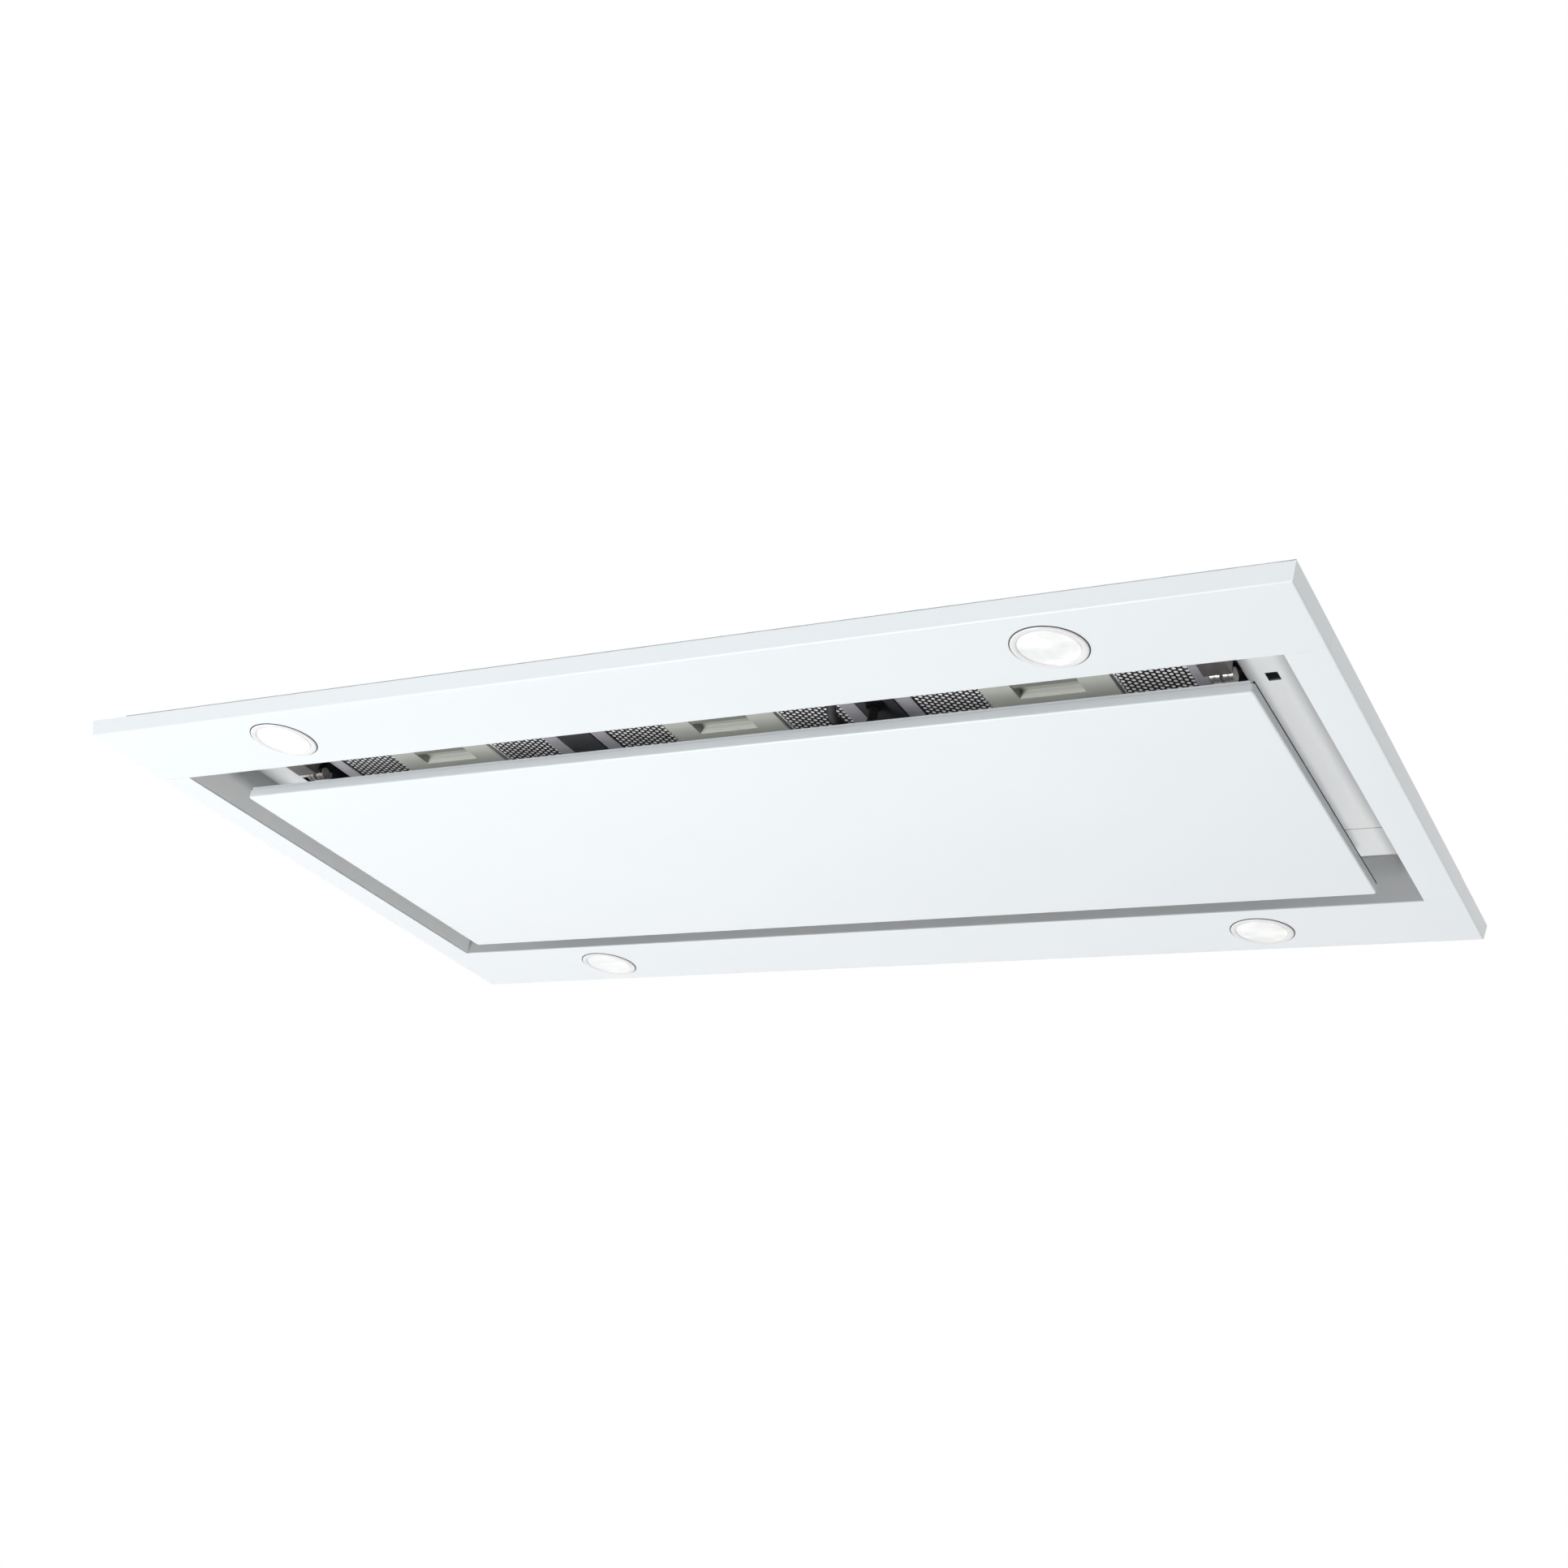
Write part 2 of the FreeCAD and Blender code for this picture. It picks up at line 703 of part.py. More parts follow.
def motor_and_shaft():
    """Motor inside the wheel, hung from the casing by a plate on three rubber bushes."""
    at = (as_size(0), S.blower_y)
    disc = DECK + S.inlet_rise + S.wheel_gap + S.wheel_disc_rise
    low = disc + S.wheel_disc + S.motor_gap
    high = low + S.motor_height
    can = rod("motor_can", S.motor_radius, "z", at, (low, high))
    depth = (low - OVER, low + S.motor_bore_depth)
    bore = rod("motor_bore", S.shaft_radius + S.running_gap, "z", at, depth)
    node("motor", cut("motor_body", can, bore))
    start = disc - S.hub_height
    node("motor_shaft", rod("shaft", S.shaft_radius, "z", at, (start, start + S.shaft_length)))
    plate_high = high + S.bracket_sheet
    node("motor_plate", rod("hanging_plate", S.bracket_radius, "z", at, (high, plate_high)))
    bushes = []
    for index in range(BUSHES):
        turn = math.radians(FULL_TURN * index / BUSHES)
        across = round(math.cos(turn), 6)
        along = round(math.sin(turn), 6)
        place = (S.bush_circle * across, S.blower_y + S.bush_circle * along)
        span = (plate_high, SCROLL_HIGH - S.scroll_wall)
        bushes.append(rod(f"bush_{index}", S.bush_radius, "z", place, span))
    node("motor_bushes", group("bushes", *bushes))


def duct_outlet():
    """Round collar for the duct, with two half-round backdraught flaps on one pin."""
    at = (OUTLET_X, OUTLET_Z)
    start = S.box_far
    bore = S.collar_radius - S.collar_wall
    sleeve = rod("collar_sleeve", S.collar_radius, "y", at, (start, start + S.collar_length))
    flange = rod("collar_ring", S.collar_flange, "y", at, (start, start + S.collar_flange_sheet))
    way = rod("collar_way", bore, "y", at, (start - OVER, start + S.collar_length + OVER))
    node("outlet_collar", cut("collar", join("collar_body", sleeve, flange), way))
    pin_y = start + S.flap_setback
    reach = bore - S.slide_gap
    pin = rod("flap_axle", S.flap_pin, "z", (OUTLET_X, pin_y), (OUTLET_Z - reach, OUTLET_Z + reach))
    node("flap_pin", pin)
    for label, sign in (("flap_left", -1), ("flap_right", 1)):
        gap = S.knuckle_gap
        span = mirrored(-sign, gap, gap + S.knuckle_length)
        z = (OUTLET_Z + span[0], OUTLET_Z + span[1])
        side = mirrored(sign, S.flap_edge, S.flap_radius + OVER)
        half = S.flap_sheet / 2
        y = (pin_y - half, pin_y + half)
        disc = rod(f"{label}_disc", S.flap_radius, "y", at, y)
        region = block(
            f"{label}_region",
            (OUTLET_X + side[0], OUTLET_X + side[1]),
            y,
            (OUTLET_Z - S.flap_radius, OUTLET_Z + S.flap_radius),
        )
        leaf = common(f"{label}_leaf", disc, region)
        neck = mirrored(sign, S.flap_pin + S.running_gap, S.flap_edge + OVER)
        web = block(f"{label}_web", (OUTLET_X + neck[0], OUTLET_X + neck[1]), y, z)
        knuckle = rod(f"{label}_knuckle", S.flap_knuckle, "z", (OUTLET_X, pin_y), z)
        hole = rod(f"{label}_hole", S.flap_pin + S.running_gap, "z", (OUTLET_X, pin_y), z)
        node(label, cut(f"{label}_flap", join(f"{label}_body", leaf, web, knuckle), hole))


# ---------------------------------------------------------------- on top of the body
def control_box():
    """Case of the electronics, open below onto the body's top sheet."""
    wall = S.control_wall
    left = S.control_inset - BODY_X
    x = (left, left + S.control_width)
    y = (S.control_y, S.control_y + S.control_depth)
    top = DECK + S.control_height
    case = block("case_outer", x, y, (DECK, top))
    inside = block(
        "case_inner",
        (x[0] + wall, x[1] - wall),
        (y[0] + wall, y[1] - wall),
        (DECK - OVER, top - wall),
    )
    middle = S.control_y + S.control_depth / 2
    side = (x[0] - OVER, x[0] + wall + OVER)
    lead = rod("case_lead", S.lead_bore, "x", (middle, DECK + S.lead_rise), side)
    node("control_box", cut("case", case, inside, lead))


def hanger_brackets():
    """Four hat-shaped brackets, each with a hole for a hanging rod."""
    brackets = []
    for index, (side, end) in enumerate(((-1, -1), (1, -1), (1, 1), (-1, 1))):
        centre_x = HANGER_X * side
        centre_y = HANGER_Y * end
        step = S.hanger_step
        inside = step - S.hanger_sheet
        low = DECK
        foot = DECK + S.hanger_sheet
        high = DECK + S.hanger_rise
        half = [
            (-S.hanger_half, low),
            (-inside, low),
            (-inside, high - S.hanger_sheet),
            (inside, high - S.hanger_sheet),
            (inside, low),
            (S.hanger_half, low),
            (S.hanger_half, foot),
            (step, foot),
            (step, high),
            (-step, high),
            (-step, foot),
            (-S.hanger_half, foot),
        ]
        outline = [(centre_x + u, v) for u, v in half]
        y = (centre_y - S.hanger_depth / 2, centre_y + S.hanger_depth / 2)
        hat = folded(f"hanger_{index}", "XZ_Plane", outline, y)
        hole = rod(f"hanger_hole_{index}", S.hanger_hole, "z", (centre_x, centre_y), (low, high + OVER))
        brackets.append(cut(f"hanger_cut_{index}", hat, hole))
    node("hanger_brackets", group("hangers", *brackets))


def body_screws():
    """Screw heads on the blower box's feet, the hangers and the body's top sheet."""
    places = []
    box_foot = S.box_width / 2 + S.box_foot / 2
    hanger_foot = S.hanger_half - S.hanger_screw
    for side in (-1, 1):
        for y in BOX_SCREWS_Y:
            places.append((box_foot * side, as_size(y), DECK + S.sheet))
        for end in (-1, 1):
            for reach in (-1, 1):
                x = HANGER_X * side + hanger_foot * reach
                places.append((x, HANGER_Y * end, DECK + S.hanger_sheet))
        for y in SIDE_SCREWS_Y:
            places.append(((BODY_X - S.side_screw) * side, as_size(y), DECK))
    for x in TOP_SCREWS_X:
        for end in (-1, 1):
            places.append((as_size(x), (BODY_Y - S.end_screw) * end, DECK))
    heads = []
    for index, (x, y, low) in enumerate(places):
        heads.append(rod(f"head_{index}", S.screw_radius, "z", (x, y), (low, low + S.screw_head)))
    node("body_screws", group("heads", *heads))


# ---------------------------------------------------------------- grease filters
FILTER_LOW = TRAY_HIGH + S.filter_clear
FILTER_HIGH = FILTER_LOW + S.filter_height
LATCH_NEAR = -FILTER_HALF_Y
LATCH_LOW = FILTER_LOW - S.latch_drop


def filter_set(number, offset):
    """One filter: folded frame with a rear tongue, mesh pack, latch housing and slider."""
    half_x = FILTER_HALF_X
    half_y = FILTER_HALF_Y
    middle = PITCH * offset

    def across(reach):
        return (middle - reach, middle + reach)

    name = f"filter_{number}"
    latch_far = LATCH_NEAR + S.latch_depth
    outer = block(f"{name}_outer", across(half_x), (-half_y, half_y), (FILTER_LOW, FILTER_HIGH))
    channel = block(
        f"{name}_channel",
        across(half_x - S.filter_border),
        (S.filter_border - half_y, half_y - S.filter_border),
        (FILTER_LOW + S.filter_lip_sheet, FILTER_HIGH - S.filter_lip_sheet),
    )
    reach = S.filter_border + S.filter_lip
    window = block(
        f"{name}_window",
        across(half_x - reach),
        (reach - half_y, half_y - reach),
        (FILTER_LOW - OVER, FILTER_HIGH + OVER),
    )
    seat = block(
        f"{name}_seat",
        across(S.latch_width / 2),
        (LATCH_NEAR - OVER, latch_far),
        (FILTER_LOW - OVER, FILTER_HIGH + OVER),
    )
    tongue = block(
        f"{name}_tongue",
        across(S.tongue_width / 2),
        (half_y - OVER, HOLE_Y + S.tongue_overlap),
        (FILTER_LOW, FILTER_LOW + S.tongue_sheet),
    )
    ring = cut(f"{name}_ring", outer, channel, window, seat)
    node(f"{name}_frame", join(f"{name}_frame_body", ring, tongue))

    gap = S.mesh_gap
    pack = block(
        f"{name}_pack",
        across(half_x - S.filter_border - gap),
        (S.filter_border + gap - half_y, half_y - S.filter_border - gap),
        (FILTER_LOW + S.filter_lip_sheet, FILTER_HIGH - S.filter_lip_sheet),
    )
    notch = block(
        f"{name}_notch",
        across(S.latch_width / 2 + gap),
        (LATCH_NEAR - OVER, latch_far + gap),
        (FILTER_LOW - OVER, FILTER_HIGH + OVER),
    )
    node(f"{name}_mesh", cut(f"{name}_mesh_body", pack, notch))

    body = block(
        f"{name}_latch_block",
        across(S.latch_width / 2),
        (LATCH_NEAR, latch_far),
        (LATCH_LOW, LATCH_LOW + S.latch_height),
    )
    pull_near = LATCH_NEAR + S.pull_near
    pull = block(
        f"{name}_pull",
        across(S.pull_width / 2),
        (pull_near, pull_near + S.pull_depth),
        (LATCH_LOW - OVER, LATCH_LOW + S.pull_height),
    )
    slot_low = LATCH_LOW + S.nose_rise
    slot = block(
        f"{name}_slot",
        across(S.nose_width / 2 + S.slide_gap),
        (LATCH_NEAR - OVER, pull_near + OVER),
        (slot_low - S.slide_gap, slot_low + S.nose_height + S.slide_gap),
    )
    node(f"{name}_latch", cut(f"{name}_latch_body", body, pull, slot))

    grip_near = pull_near + S.slide_gap
    nose = block(
        f"{name}_nose",
        across(S.nose_width / 2),
        (S.keep_gap - HOLE_Y, grip_near + OVER),
        (slot_low, slot_low + S.nose_height),
    )
    grip = block(
        f"{name}_grip",
        across(S.pull_width / 2 - S.slide_gap),
        (grip_near, grip_near + S.grip_depth),
        (LATCH_LOW + S.slide_gap, LATCH_LOW + S.slide_gap + S.grip_height),
    )
    node(f"{name}_slider", join(f"{name}_slider_body", nose, grip))


def dividers():
    """Channel strips between the filters, resting on the tray at both ends."""
    for label, sign in (("divider_left", -1), ("divider_right", 1)):
        centre = PITCH / 2 * sign
        half = S.filter_gap / 2 - S.divider_gap
        high = TRAY_HIGH + S.divider_height
        outline = [
            (centre - half, TRAY_HIGH),
            (centre + half, TRAY_HIGH),
            (centre + half, high),
            (centre + half - S.sheet, high),
            (centre + half - S.sheet, TRAY_HIGH + S.sheet),
            (centre - half + S.sheet, TRAY_HIGH + S.sheet),
            (centre - half + S.sheet, high),
            (centre - half, high),
        ]
        reach = HOLE_Y + S.divider_overlap
        node(label, folded(f"{label}_channel", "XZ_Plane", outline, (-reach, reach)))


# ---------------------------------------------------------------- suction panel
def panel_sheets():
    """Folded skin of the panel, and the back sheet that closes it."""
    body = doc.addObject("PartDesign::Body", "skin")
    plan = start_sketch(body, "XY_Plane", "skin_outline")
    draw_outline(plan, rectangle((-PANEL_X, PANEL_X), (PANEL_NEAR, PANEL_FAR)))
    slab = pad(body, plan, S.panel_flange, "skin_slab")
    doc.recompute()
    bend = body.newObject("PartDesign::Fillet", "skin_bend")
    bend.Base = (slab, level_edges(slab.Shape, 0))
    bind(bend, "Radius", S.panel_bend)
    inside = start_sketch(body, "XY_Plane", "skin_inside", S.panel_flange)
    gauge = S.panel_sheet
    hollow_x = (gauge - PANEL_X, PANEL_X - gauge)
    hollow_y = (PANEL_NEAR + gauge, PANEL_FAR - gauge)
    draw_outline(inside, rectangle(hollow_x, hollow_y))
    hollow = body.newObject("PartDesign::Pocket", "skin_hollow")
    hollow.Profile = inside
    bind(hollow, "Length", S.panel_flange - gauge)
    bind(body, "Placement.Base.z", PANEL_FACE)
    node("panel_skin", body)

    gap = S.back_gap
    x = (hollow_x[0] + gap, hollow_x[1] - gap)
    y = (hollow_y[0] + gap, hollow_y[1] - gap)
    floor = PANEL_FACE + gauge
    outer = block("back_outer", x, y, (floor, BACK_TOP))
    wall = S.back_sheet
    inner = block(
        "back_inner",
        (x[0] + wall, x[1] - wall),
        (y[0] + wall, y[1] - wall),
        (floor - OVER, BACK_TOP - wall),
    )
    node("panel_back", cut("back_pan", outer, inner))


def level_edges(shape, level):
    """Names of the edges that lie at one height."""
    names = []
    for index, edge in enumerate(shape.Edges, start=1):
        if all(abs(corner.Z - level) < LEVEL_TOLERANCE for corner in edge.Vertexes):
            names.append(f"Edge{index}")
    return names


def rounded_lug(name, x, radius, top, bore):
    """A plate about the pin, round on the free side and straight towards the other."""
    low, high = (top, PIN_Z) if top.value < PIN_Z.value else (PIN_Z, top)
    eye = rod(f"{name}_eye", radius, "x", (PIN_Y, PIN_Z), x)
    arm = block(f"{name}_arm", x, (PIN_Y - radius, PIN_Y + radius), (low, high))
    hole = rod(f"{name}_bore", bore, "x", (PIN_Y, PIN_Z), x)
    return cut(f"{name}_plate", join(f"{name}_body", eye, arm), hole)


def panel_hinges():
    """Arms on the panel, forked brackets under the tray, and a pin in each."""
    brackets = []
    pins = []
    half = S.lug_width / 2
    inner = half + S.cheek_gap
    outer = inner + S.cheek_sheet
    for label, sign in (("left", -1), ("right", 1)):
        middle = S.hinge_spread * sign
        arm = rounded_lug(
            f"arm_{label}",
            (middle - half, middle + half),
            S.cheek_radius,
            BACK_TOP + S.hinge_foot / 2,
            S.pin_radius + S.running_gap,
        )
        side = half + S.hinge_foot_side
        foot = block(
            f"arm_{label}_foot",
            (middle - side, middle + side),
            (PIN_Y - S.hinge_foot_reach, PIN_Y + S.hinge_foot_tail),
            (BACK_TOP, BACK_TOP + S.hinge_foot),
        )
        node(f"hinge_arm_{label}", join(f"arm_{label}_whole", arm, foot))
        cheeks = []
        for letter, low, high in (("a", -outer, -inner), ("b", inner, outer)):
            cheek = rounded_lug(
                f"cheek_{label}_{letter}",
                (middle + low, middle + high),
                S.cheek_radius,
                TRAY_LOW,
                S.pin_radius + S.fixed_gap,
            )
            cheeks.append(cheek)
        base = block(
            f"bracket_{label}_base",
            (middle - outer, middle + outer),
            (PIN_Y, PIN_Y + S.hinge_base_reach),
            (TRAY_LOW - S.hinge_foot, TRAY_LOW),
        )
        brackets.append(join(f"bracket_{label}", base, *cheeks))
        span = (middle - outer, middle + outer)
        pins.append(rod(f"pin_{label}", S.pin_radius, "x", (PIN_Y, PIN_Z), span))
    node("hinge_brackets", group("brackets", *brackets))
    node("hinge_pins", group("pins", *pins))


# ---------------------------------------------------------------- catches
def catches():
    """Sprung rollers beside the filters, and the strikers that stand behind them."""
    blocks = []
    strikers = []
    near = S.catch_near - HOLE_Y
    far = near + S.catch_length
    axis_y = far + S.roller_reach
    axis_z = TRAY_LOW - S.roller_drop
    ear_low = TRAY_HIGH
    ear_high = TRAY_HIGH + S.catch_ear_sheet
    for label, sign in (("left", -1), ("right", 1)):
        half = S.catch_width / 2
        x = mirrored(sign, CATCH_X - half, CATCH_X + half)
        ear_x = mirrored(sign, CATCH_X, CATCH_X + half + S.catch_ear)
        middle = CATCH_X * sign
        body = block(f"catch_{label}_block", x, (near, far), (TRAY_LOW - S.catch_drop, ear_high))
        ear = block(f"catch_{label}_ear", ear_x, (near, far), (ear_low, ear_high))
        bore = rod(
            f"catch_{label}_bore",
            S.stem_radius + S.running_gap,
            "y",
            (middle, axis_z),
            (near - OVER, far + OVER),
        )
        blocks.append(cut(f"catch_{label}_body", join(f"catch_{label}_whole", body, ear), bore))

        reach = S.roller_length / 2
        stem = rod(f"stem_{label}", S.stem_radius, "y", (middle, axis_z), (near + OVER, axis_y))
        axis = (axis_y, axis_z)
        roller = rod(f"roller_{label}", S.roller_radius, "x", axis, (middle - reach, middle + reach))
        wide = (middle - S.groove_half, middle + S.groove_half)
        groove = rod(f"groove_{label}", S.roller_radius + OVER, "x", axis, wide)
        across = (middle - S.neck_half, middle + S.neck_half)
        neck = rod(f"neck_{label}", S.roller_radius - S.roller_groove, "x", axis, across)
        grooved = cut(f"grooved_{label}", roller, groove)
        node(f"catch_plunger_{label}", join(f"plunger_{label}", grooved, neck, stem))

        plate_y = axis_y + S.roller_radius + S.striker_gap
        half = S.striker_width / 2
        x = (middle - half, middle + half)
        plate = block(
            f"striker_{label}_plate",
            x,
            (plate_y, plate_y + S.striker_sheet),
            (BACK_TOP, TRAY_LOW - S.striker_top_gap),
        )
        foot = block(
            f"striker_{label}_foot",
            x,
            (plate_y, plate_y + S.striker_foot),
            (BACK_TOP, BACK_TOP + S.striker_sheet),
        )
        strikers.append(join(f"striker_{label}", plate, foot))
    node("catch_blocks", group("catch_pair", *blocks))
    node("strikers", group("striker_pair", *strikers))


# ---------------------------------------------------------------- lamps
def lamps():
    """Four round lamps: bezel with its sleeve, stepped lens, and the can behind."""
    bezels = []
    lenses = []
    cans = []
    tube_in = S.bezel_tube - S.bezel_wall
    face = -S.bezel_sheet
    lens_face = face + S.lens_front
    for index, (side, end) in enumerate(((-1, -1), (1, -1), (1, 1), (-1, 1))):
        x = S.lamp_spread * side
        y = (S.depth / 2 - S.lamp_inset) * end
        bezel = [
            (S.bezel_lip, face),
            (S.bezel_radius, face),
            (S.bezel_radius, 0),
            (S.bezel_tube, 0),
            (S.bezel_tube, S.bezel_height),
            (tube_in, S.bezel_height),
            (tube_in, 0),
            (S.bezel_lip, 0),
        ]
        bezels.append(turned(f"bezel_{index}", bezel, x, y, FACE))
        lens = [
            (0, lens_face),
            (S.bezel_lip - S.lens_front, lens_face),
            (S.bezel_lip - S.lens_front, 0),
            (S.lens_shoulder, 0),
            (S.lens_shoulder, S.lens_sheet),
            (0, S.lens_sheet),
        ]
        lenses.append(turned(f"lens_{index}", lens, x, y, FACE))
        high = S.bezel_height + S.lamp_can_height
        can = [
            (tube_in, S.bezel_height),
            (S.lamp_can_radius, S.bezel_height),
            (S.lamp_can_radius, high),
            (0, high),
            (0, high - S.sheet),
            (tube_in, high - S.sheet),
        ]
        cans.append(turned(f"can_{index}", can, x, y, FACE))
    node("lamp_bezels", group("bezels", *bezels))
    node("lamp_lenses", group("lenses", *lenses))
    node("lamp_cans", group("cans", *cans))


# ---------------------------------------------------------------- lead under the tray
LEAD_X = PITCH / 2 - S.lead_side
LEAD_NEAR = -HOLE_Y - S.lead_near
LEAD_FAR = S.lead_far - HOLE_Y
LEAD_LOW = FACE + S.lead_loop
CABLE_ROUTE = [
    (LEAD_X, LEAD_NEAR, TRAY_LOW),
    (LEAD_X, LEAD_NEAR, TRAY_LOW - S.lead_run),
    (PITCH / 2 - S.loop_near_side, -HOLE_Y - S.loop_near, LEAD_LOW),
    (PITCH / 2 - S.loop_far_side, S.loop_far - HOLE_Y, LEAD_LOW),
    (PITCH / 2, LEAD_FAR, TRAY_LOW - S.lead_run),
    (PITCH / 2, LEAD_FAR, TRAY_HIGH),
]


def rounded_route(points):
    """Straight runs joined by tangent arcs, each as large as its two runs allow."""
    places = [Vector(*(place.value for place in point)) for point in points]
    edges = []
    start = places[0]
    for before, corner, after in zip(places, places[1:], places[2:]):
        run_in = corner - before
        run_out = after - corner
        turn = run_in.getAngle(run_out)
        setback = LEAD_SETBACK * min(run_in.Length, run_out.Length)
        radius = setback / math.tan(turn / 2)
        print(f"lead: turn {math.degrees(turn):.0f} degrees, radius {radius:.1f} mm")
        into = Vector(run_in).normalize()
        out = Vector(run_out).normalize()
        arc_start = corner - into * setback
        arc_end = corner + out * setback
        inward = (out - into).normalize()
        depth = radius / math.cos(turn / 2) - radius
        edges.append(Part.LineSegment(start, arc_start).toShape())
        edges.append(Part.Arc(arc_start, corner + inward * depth, arc_end).toShape())
        start = arc_end
    edges.append(Part.LineSegment(start, places[-1]).toShape())
    return Part.Wire(edges)


def held_lead():
    """Black lead that loops from the tray to the right divider, with a gland at each end."""
    route = rounded_route(CABLE_ROUTE)
    start = route.OrderedVertexes[0].Point
    section = Part.Wire(Part.makeCircle(S.cable_radius.value, start, Vector(0, 0, -1)))
    made = doc.addObject("Part::Feature", "lead")
    made.Shape = route.makePipeShell([section], True, False)
    expected = math.pi * S.cable_radius.value**2 * route.Length
    print(f"lead: volume {made.Shape.Volume:.0f}, section times length {expected:.0f}")
    node("panel_lead", made)
    glands = []
    for name, (x, y, level) in (("near", CABLE_ROUTE[0]), ("far", CABLE_ROUTE[-1])):
        span = (level - S.gland_height, level)
        outer = rod(f"gland_{name}_out", S.gland_radius, "z", (x, y), span)
        inner = rod(f"gland_{name}_in", S.cable_radius + S.slide_gap, "z", (x, y), span)
        glands.append(cut(f"gland_{name}", outer, inner))
    node("lead_glands", group("glands", *glands))


# ---------------------------------------------------------------- assembly and export
def build():
    frame_strips()
    recess_sheets()
    body_sheets()
    blower_box()
    inlet_ring()
    scroll_housing()
    fan_wheel()
    motor_and_shaft()
    duct_outlet()
    control_box()
    hanger_brackets()
    body_screws()
    for number, offset in ((1, -1), (2, 0), (3, 1)):
        filter_set(number, offset)
    dividers()
    panel_sheets()
    panel_hinges()
    catches()
    lamps()
    held_lead()
    doc.recompute()


def check():
    """Stops if any object failed or any sub-part is empty or not valid."""
    for thing in doc.Objects:
        if "Invalid" in thing.State or "Error" in thing.State:
            raise RuntimeError(f"{thing.Name} failed: {thing.State}")
    for made in nodes:
        if made.Shape.isNull() or not made.Shape.isValid():
            raise RuntimeError(f"{made.Label} has no valid shape")


def export():
    os.makedirs("parts", exist_ok=True)
    for made in nodes:
        made.Shape.exportStep(f"parts/{made.Label}.step")
        print(f"{made.Label}: {len(made.Shape.Solids)} solid(s), {made.Shape.Volume:.0f} mm3")
    print(f"{len(nodes)} sub-parts")


build()
check()
export()
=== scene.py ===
import bmesh
import bpy
import json
import math
from mathutils import Matrix, Vector

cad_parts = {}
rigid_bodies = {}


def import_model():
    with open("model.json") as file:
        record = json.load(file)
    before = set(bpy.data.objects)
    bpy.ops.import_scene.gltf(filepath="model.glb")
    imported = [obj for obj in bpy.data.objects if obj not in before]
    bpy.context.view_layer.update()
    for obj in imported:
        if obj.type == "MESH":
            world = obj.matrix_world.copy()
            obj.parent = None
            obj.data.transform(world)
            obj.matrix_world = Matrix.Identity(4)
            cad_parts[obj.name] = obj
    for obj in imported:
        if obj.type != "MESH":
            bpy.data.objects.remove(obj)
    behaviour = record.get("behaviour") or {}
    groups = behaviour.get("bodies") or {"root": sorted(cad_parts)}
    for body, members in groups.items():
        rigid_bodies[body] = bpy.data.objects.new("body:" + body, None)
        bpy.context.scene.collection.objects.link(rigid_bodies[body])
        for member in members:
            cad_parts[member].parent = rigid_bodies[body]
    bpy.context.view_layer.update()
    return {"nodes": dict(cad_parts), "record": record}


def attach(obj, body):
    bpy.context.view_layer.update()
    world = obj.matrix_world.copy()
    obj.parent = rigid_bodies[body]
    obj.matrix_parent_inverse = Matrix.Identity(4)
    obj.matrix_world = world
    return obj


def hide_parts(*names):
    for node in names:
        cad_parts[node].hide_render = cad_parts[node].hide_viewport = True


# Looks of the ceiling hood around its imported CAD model. Metres, the CAD's own frame: the
# origin is the middle of the ceiling plane, -Y swings down, +Y is the hinge side, +Z is up.

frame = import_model()
MM = 0.001

# Sockets of the Mix node for colours and for vectors, which share their names.
COLOUR_A = 6
COLOUR_B = 7
COLOUR_OUT = 2
VECTOR_A = 4
VECTOR_B = 5
VECTOR_OUT = 1

# Heights and edges that the pieces share with the CAD, in millimetres.
STRIP_BACK = -11.0
OPEN_X = 422.0
OPEN_Y = 175.0
TRAY_LOW = 26.0
TRAY_HIGH = 27.0
HOLE_X = 372.0
HOLE_Y = 142.0
WALL_GAUGE = 1.0
FILTER_CENTRES = (-244.0, 0.0, 244.0)
LAMP_PLACES = ((-294.0, -212.5), (294.0, -212.5), (294.0, 212.5), (-294.0, 212.5))
CATCH_X = 362.5
CATCH_AXIS = (-107.0, 20.0)


# -------------------- colours and nodes
def srgb(code):
    """Turns an sRGB hex colour into the linear colour that a shader takes."""
    parts = [int(code[start:start + 2], 16) / 255 for start in (1, 3, 5)]
    linear = [part / 12.92 if part <= 0.04045 else ((part + 0.055) / 1.055) ** 2.4 for part in parts]
    return (*linear, 1.0)


def add(tree, kind, inputs=None, **settings):
    """Adds a node with its settings. Each input is a value, or a socket that it is linked from."""
    made = tree.nodes.new(kind)
    for name, value in settings.items():
        setattr(made, name, value)
    for key, value in (inputs or {}).items():
        if isinstance(value, bpy.types.NodeSocket):
            tree.links.new(value, made.inputs[key])
        else:
            made.inputs[key].default_value = value
    return made


def start_material(name, colour):
    """A new material with an empty tree, and the place on the object that its patterns read."""
    material = bpy.data.materials.new(name)
    material.use_nodes = True
    material.diffuse_color = srgb(colour)
    tree = material.node_tree
    tree.nodes.clear()
    place = add(tree, "ShaderNodeTexCoord").outputs["Object"]
    return material, tree, place


def end_material(material, finish):
    """Gives a material its shader with the values and patterns of its finish."""
    shader = add(material.node_tree, "ShaderNodeBsdfPrincipled", finish)
    shader.inputs["Base Color"].default_value = material.diffuse_color
    add(material.node_tree, "ShaderNodeOutputMaterial", {"Surface": shader.outputs["BSDF"]})
    return material


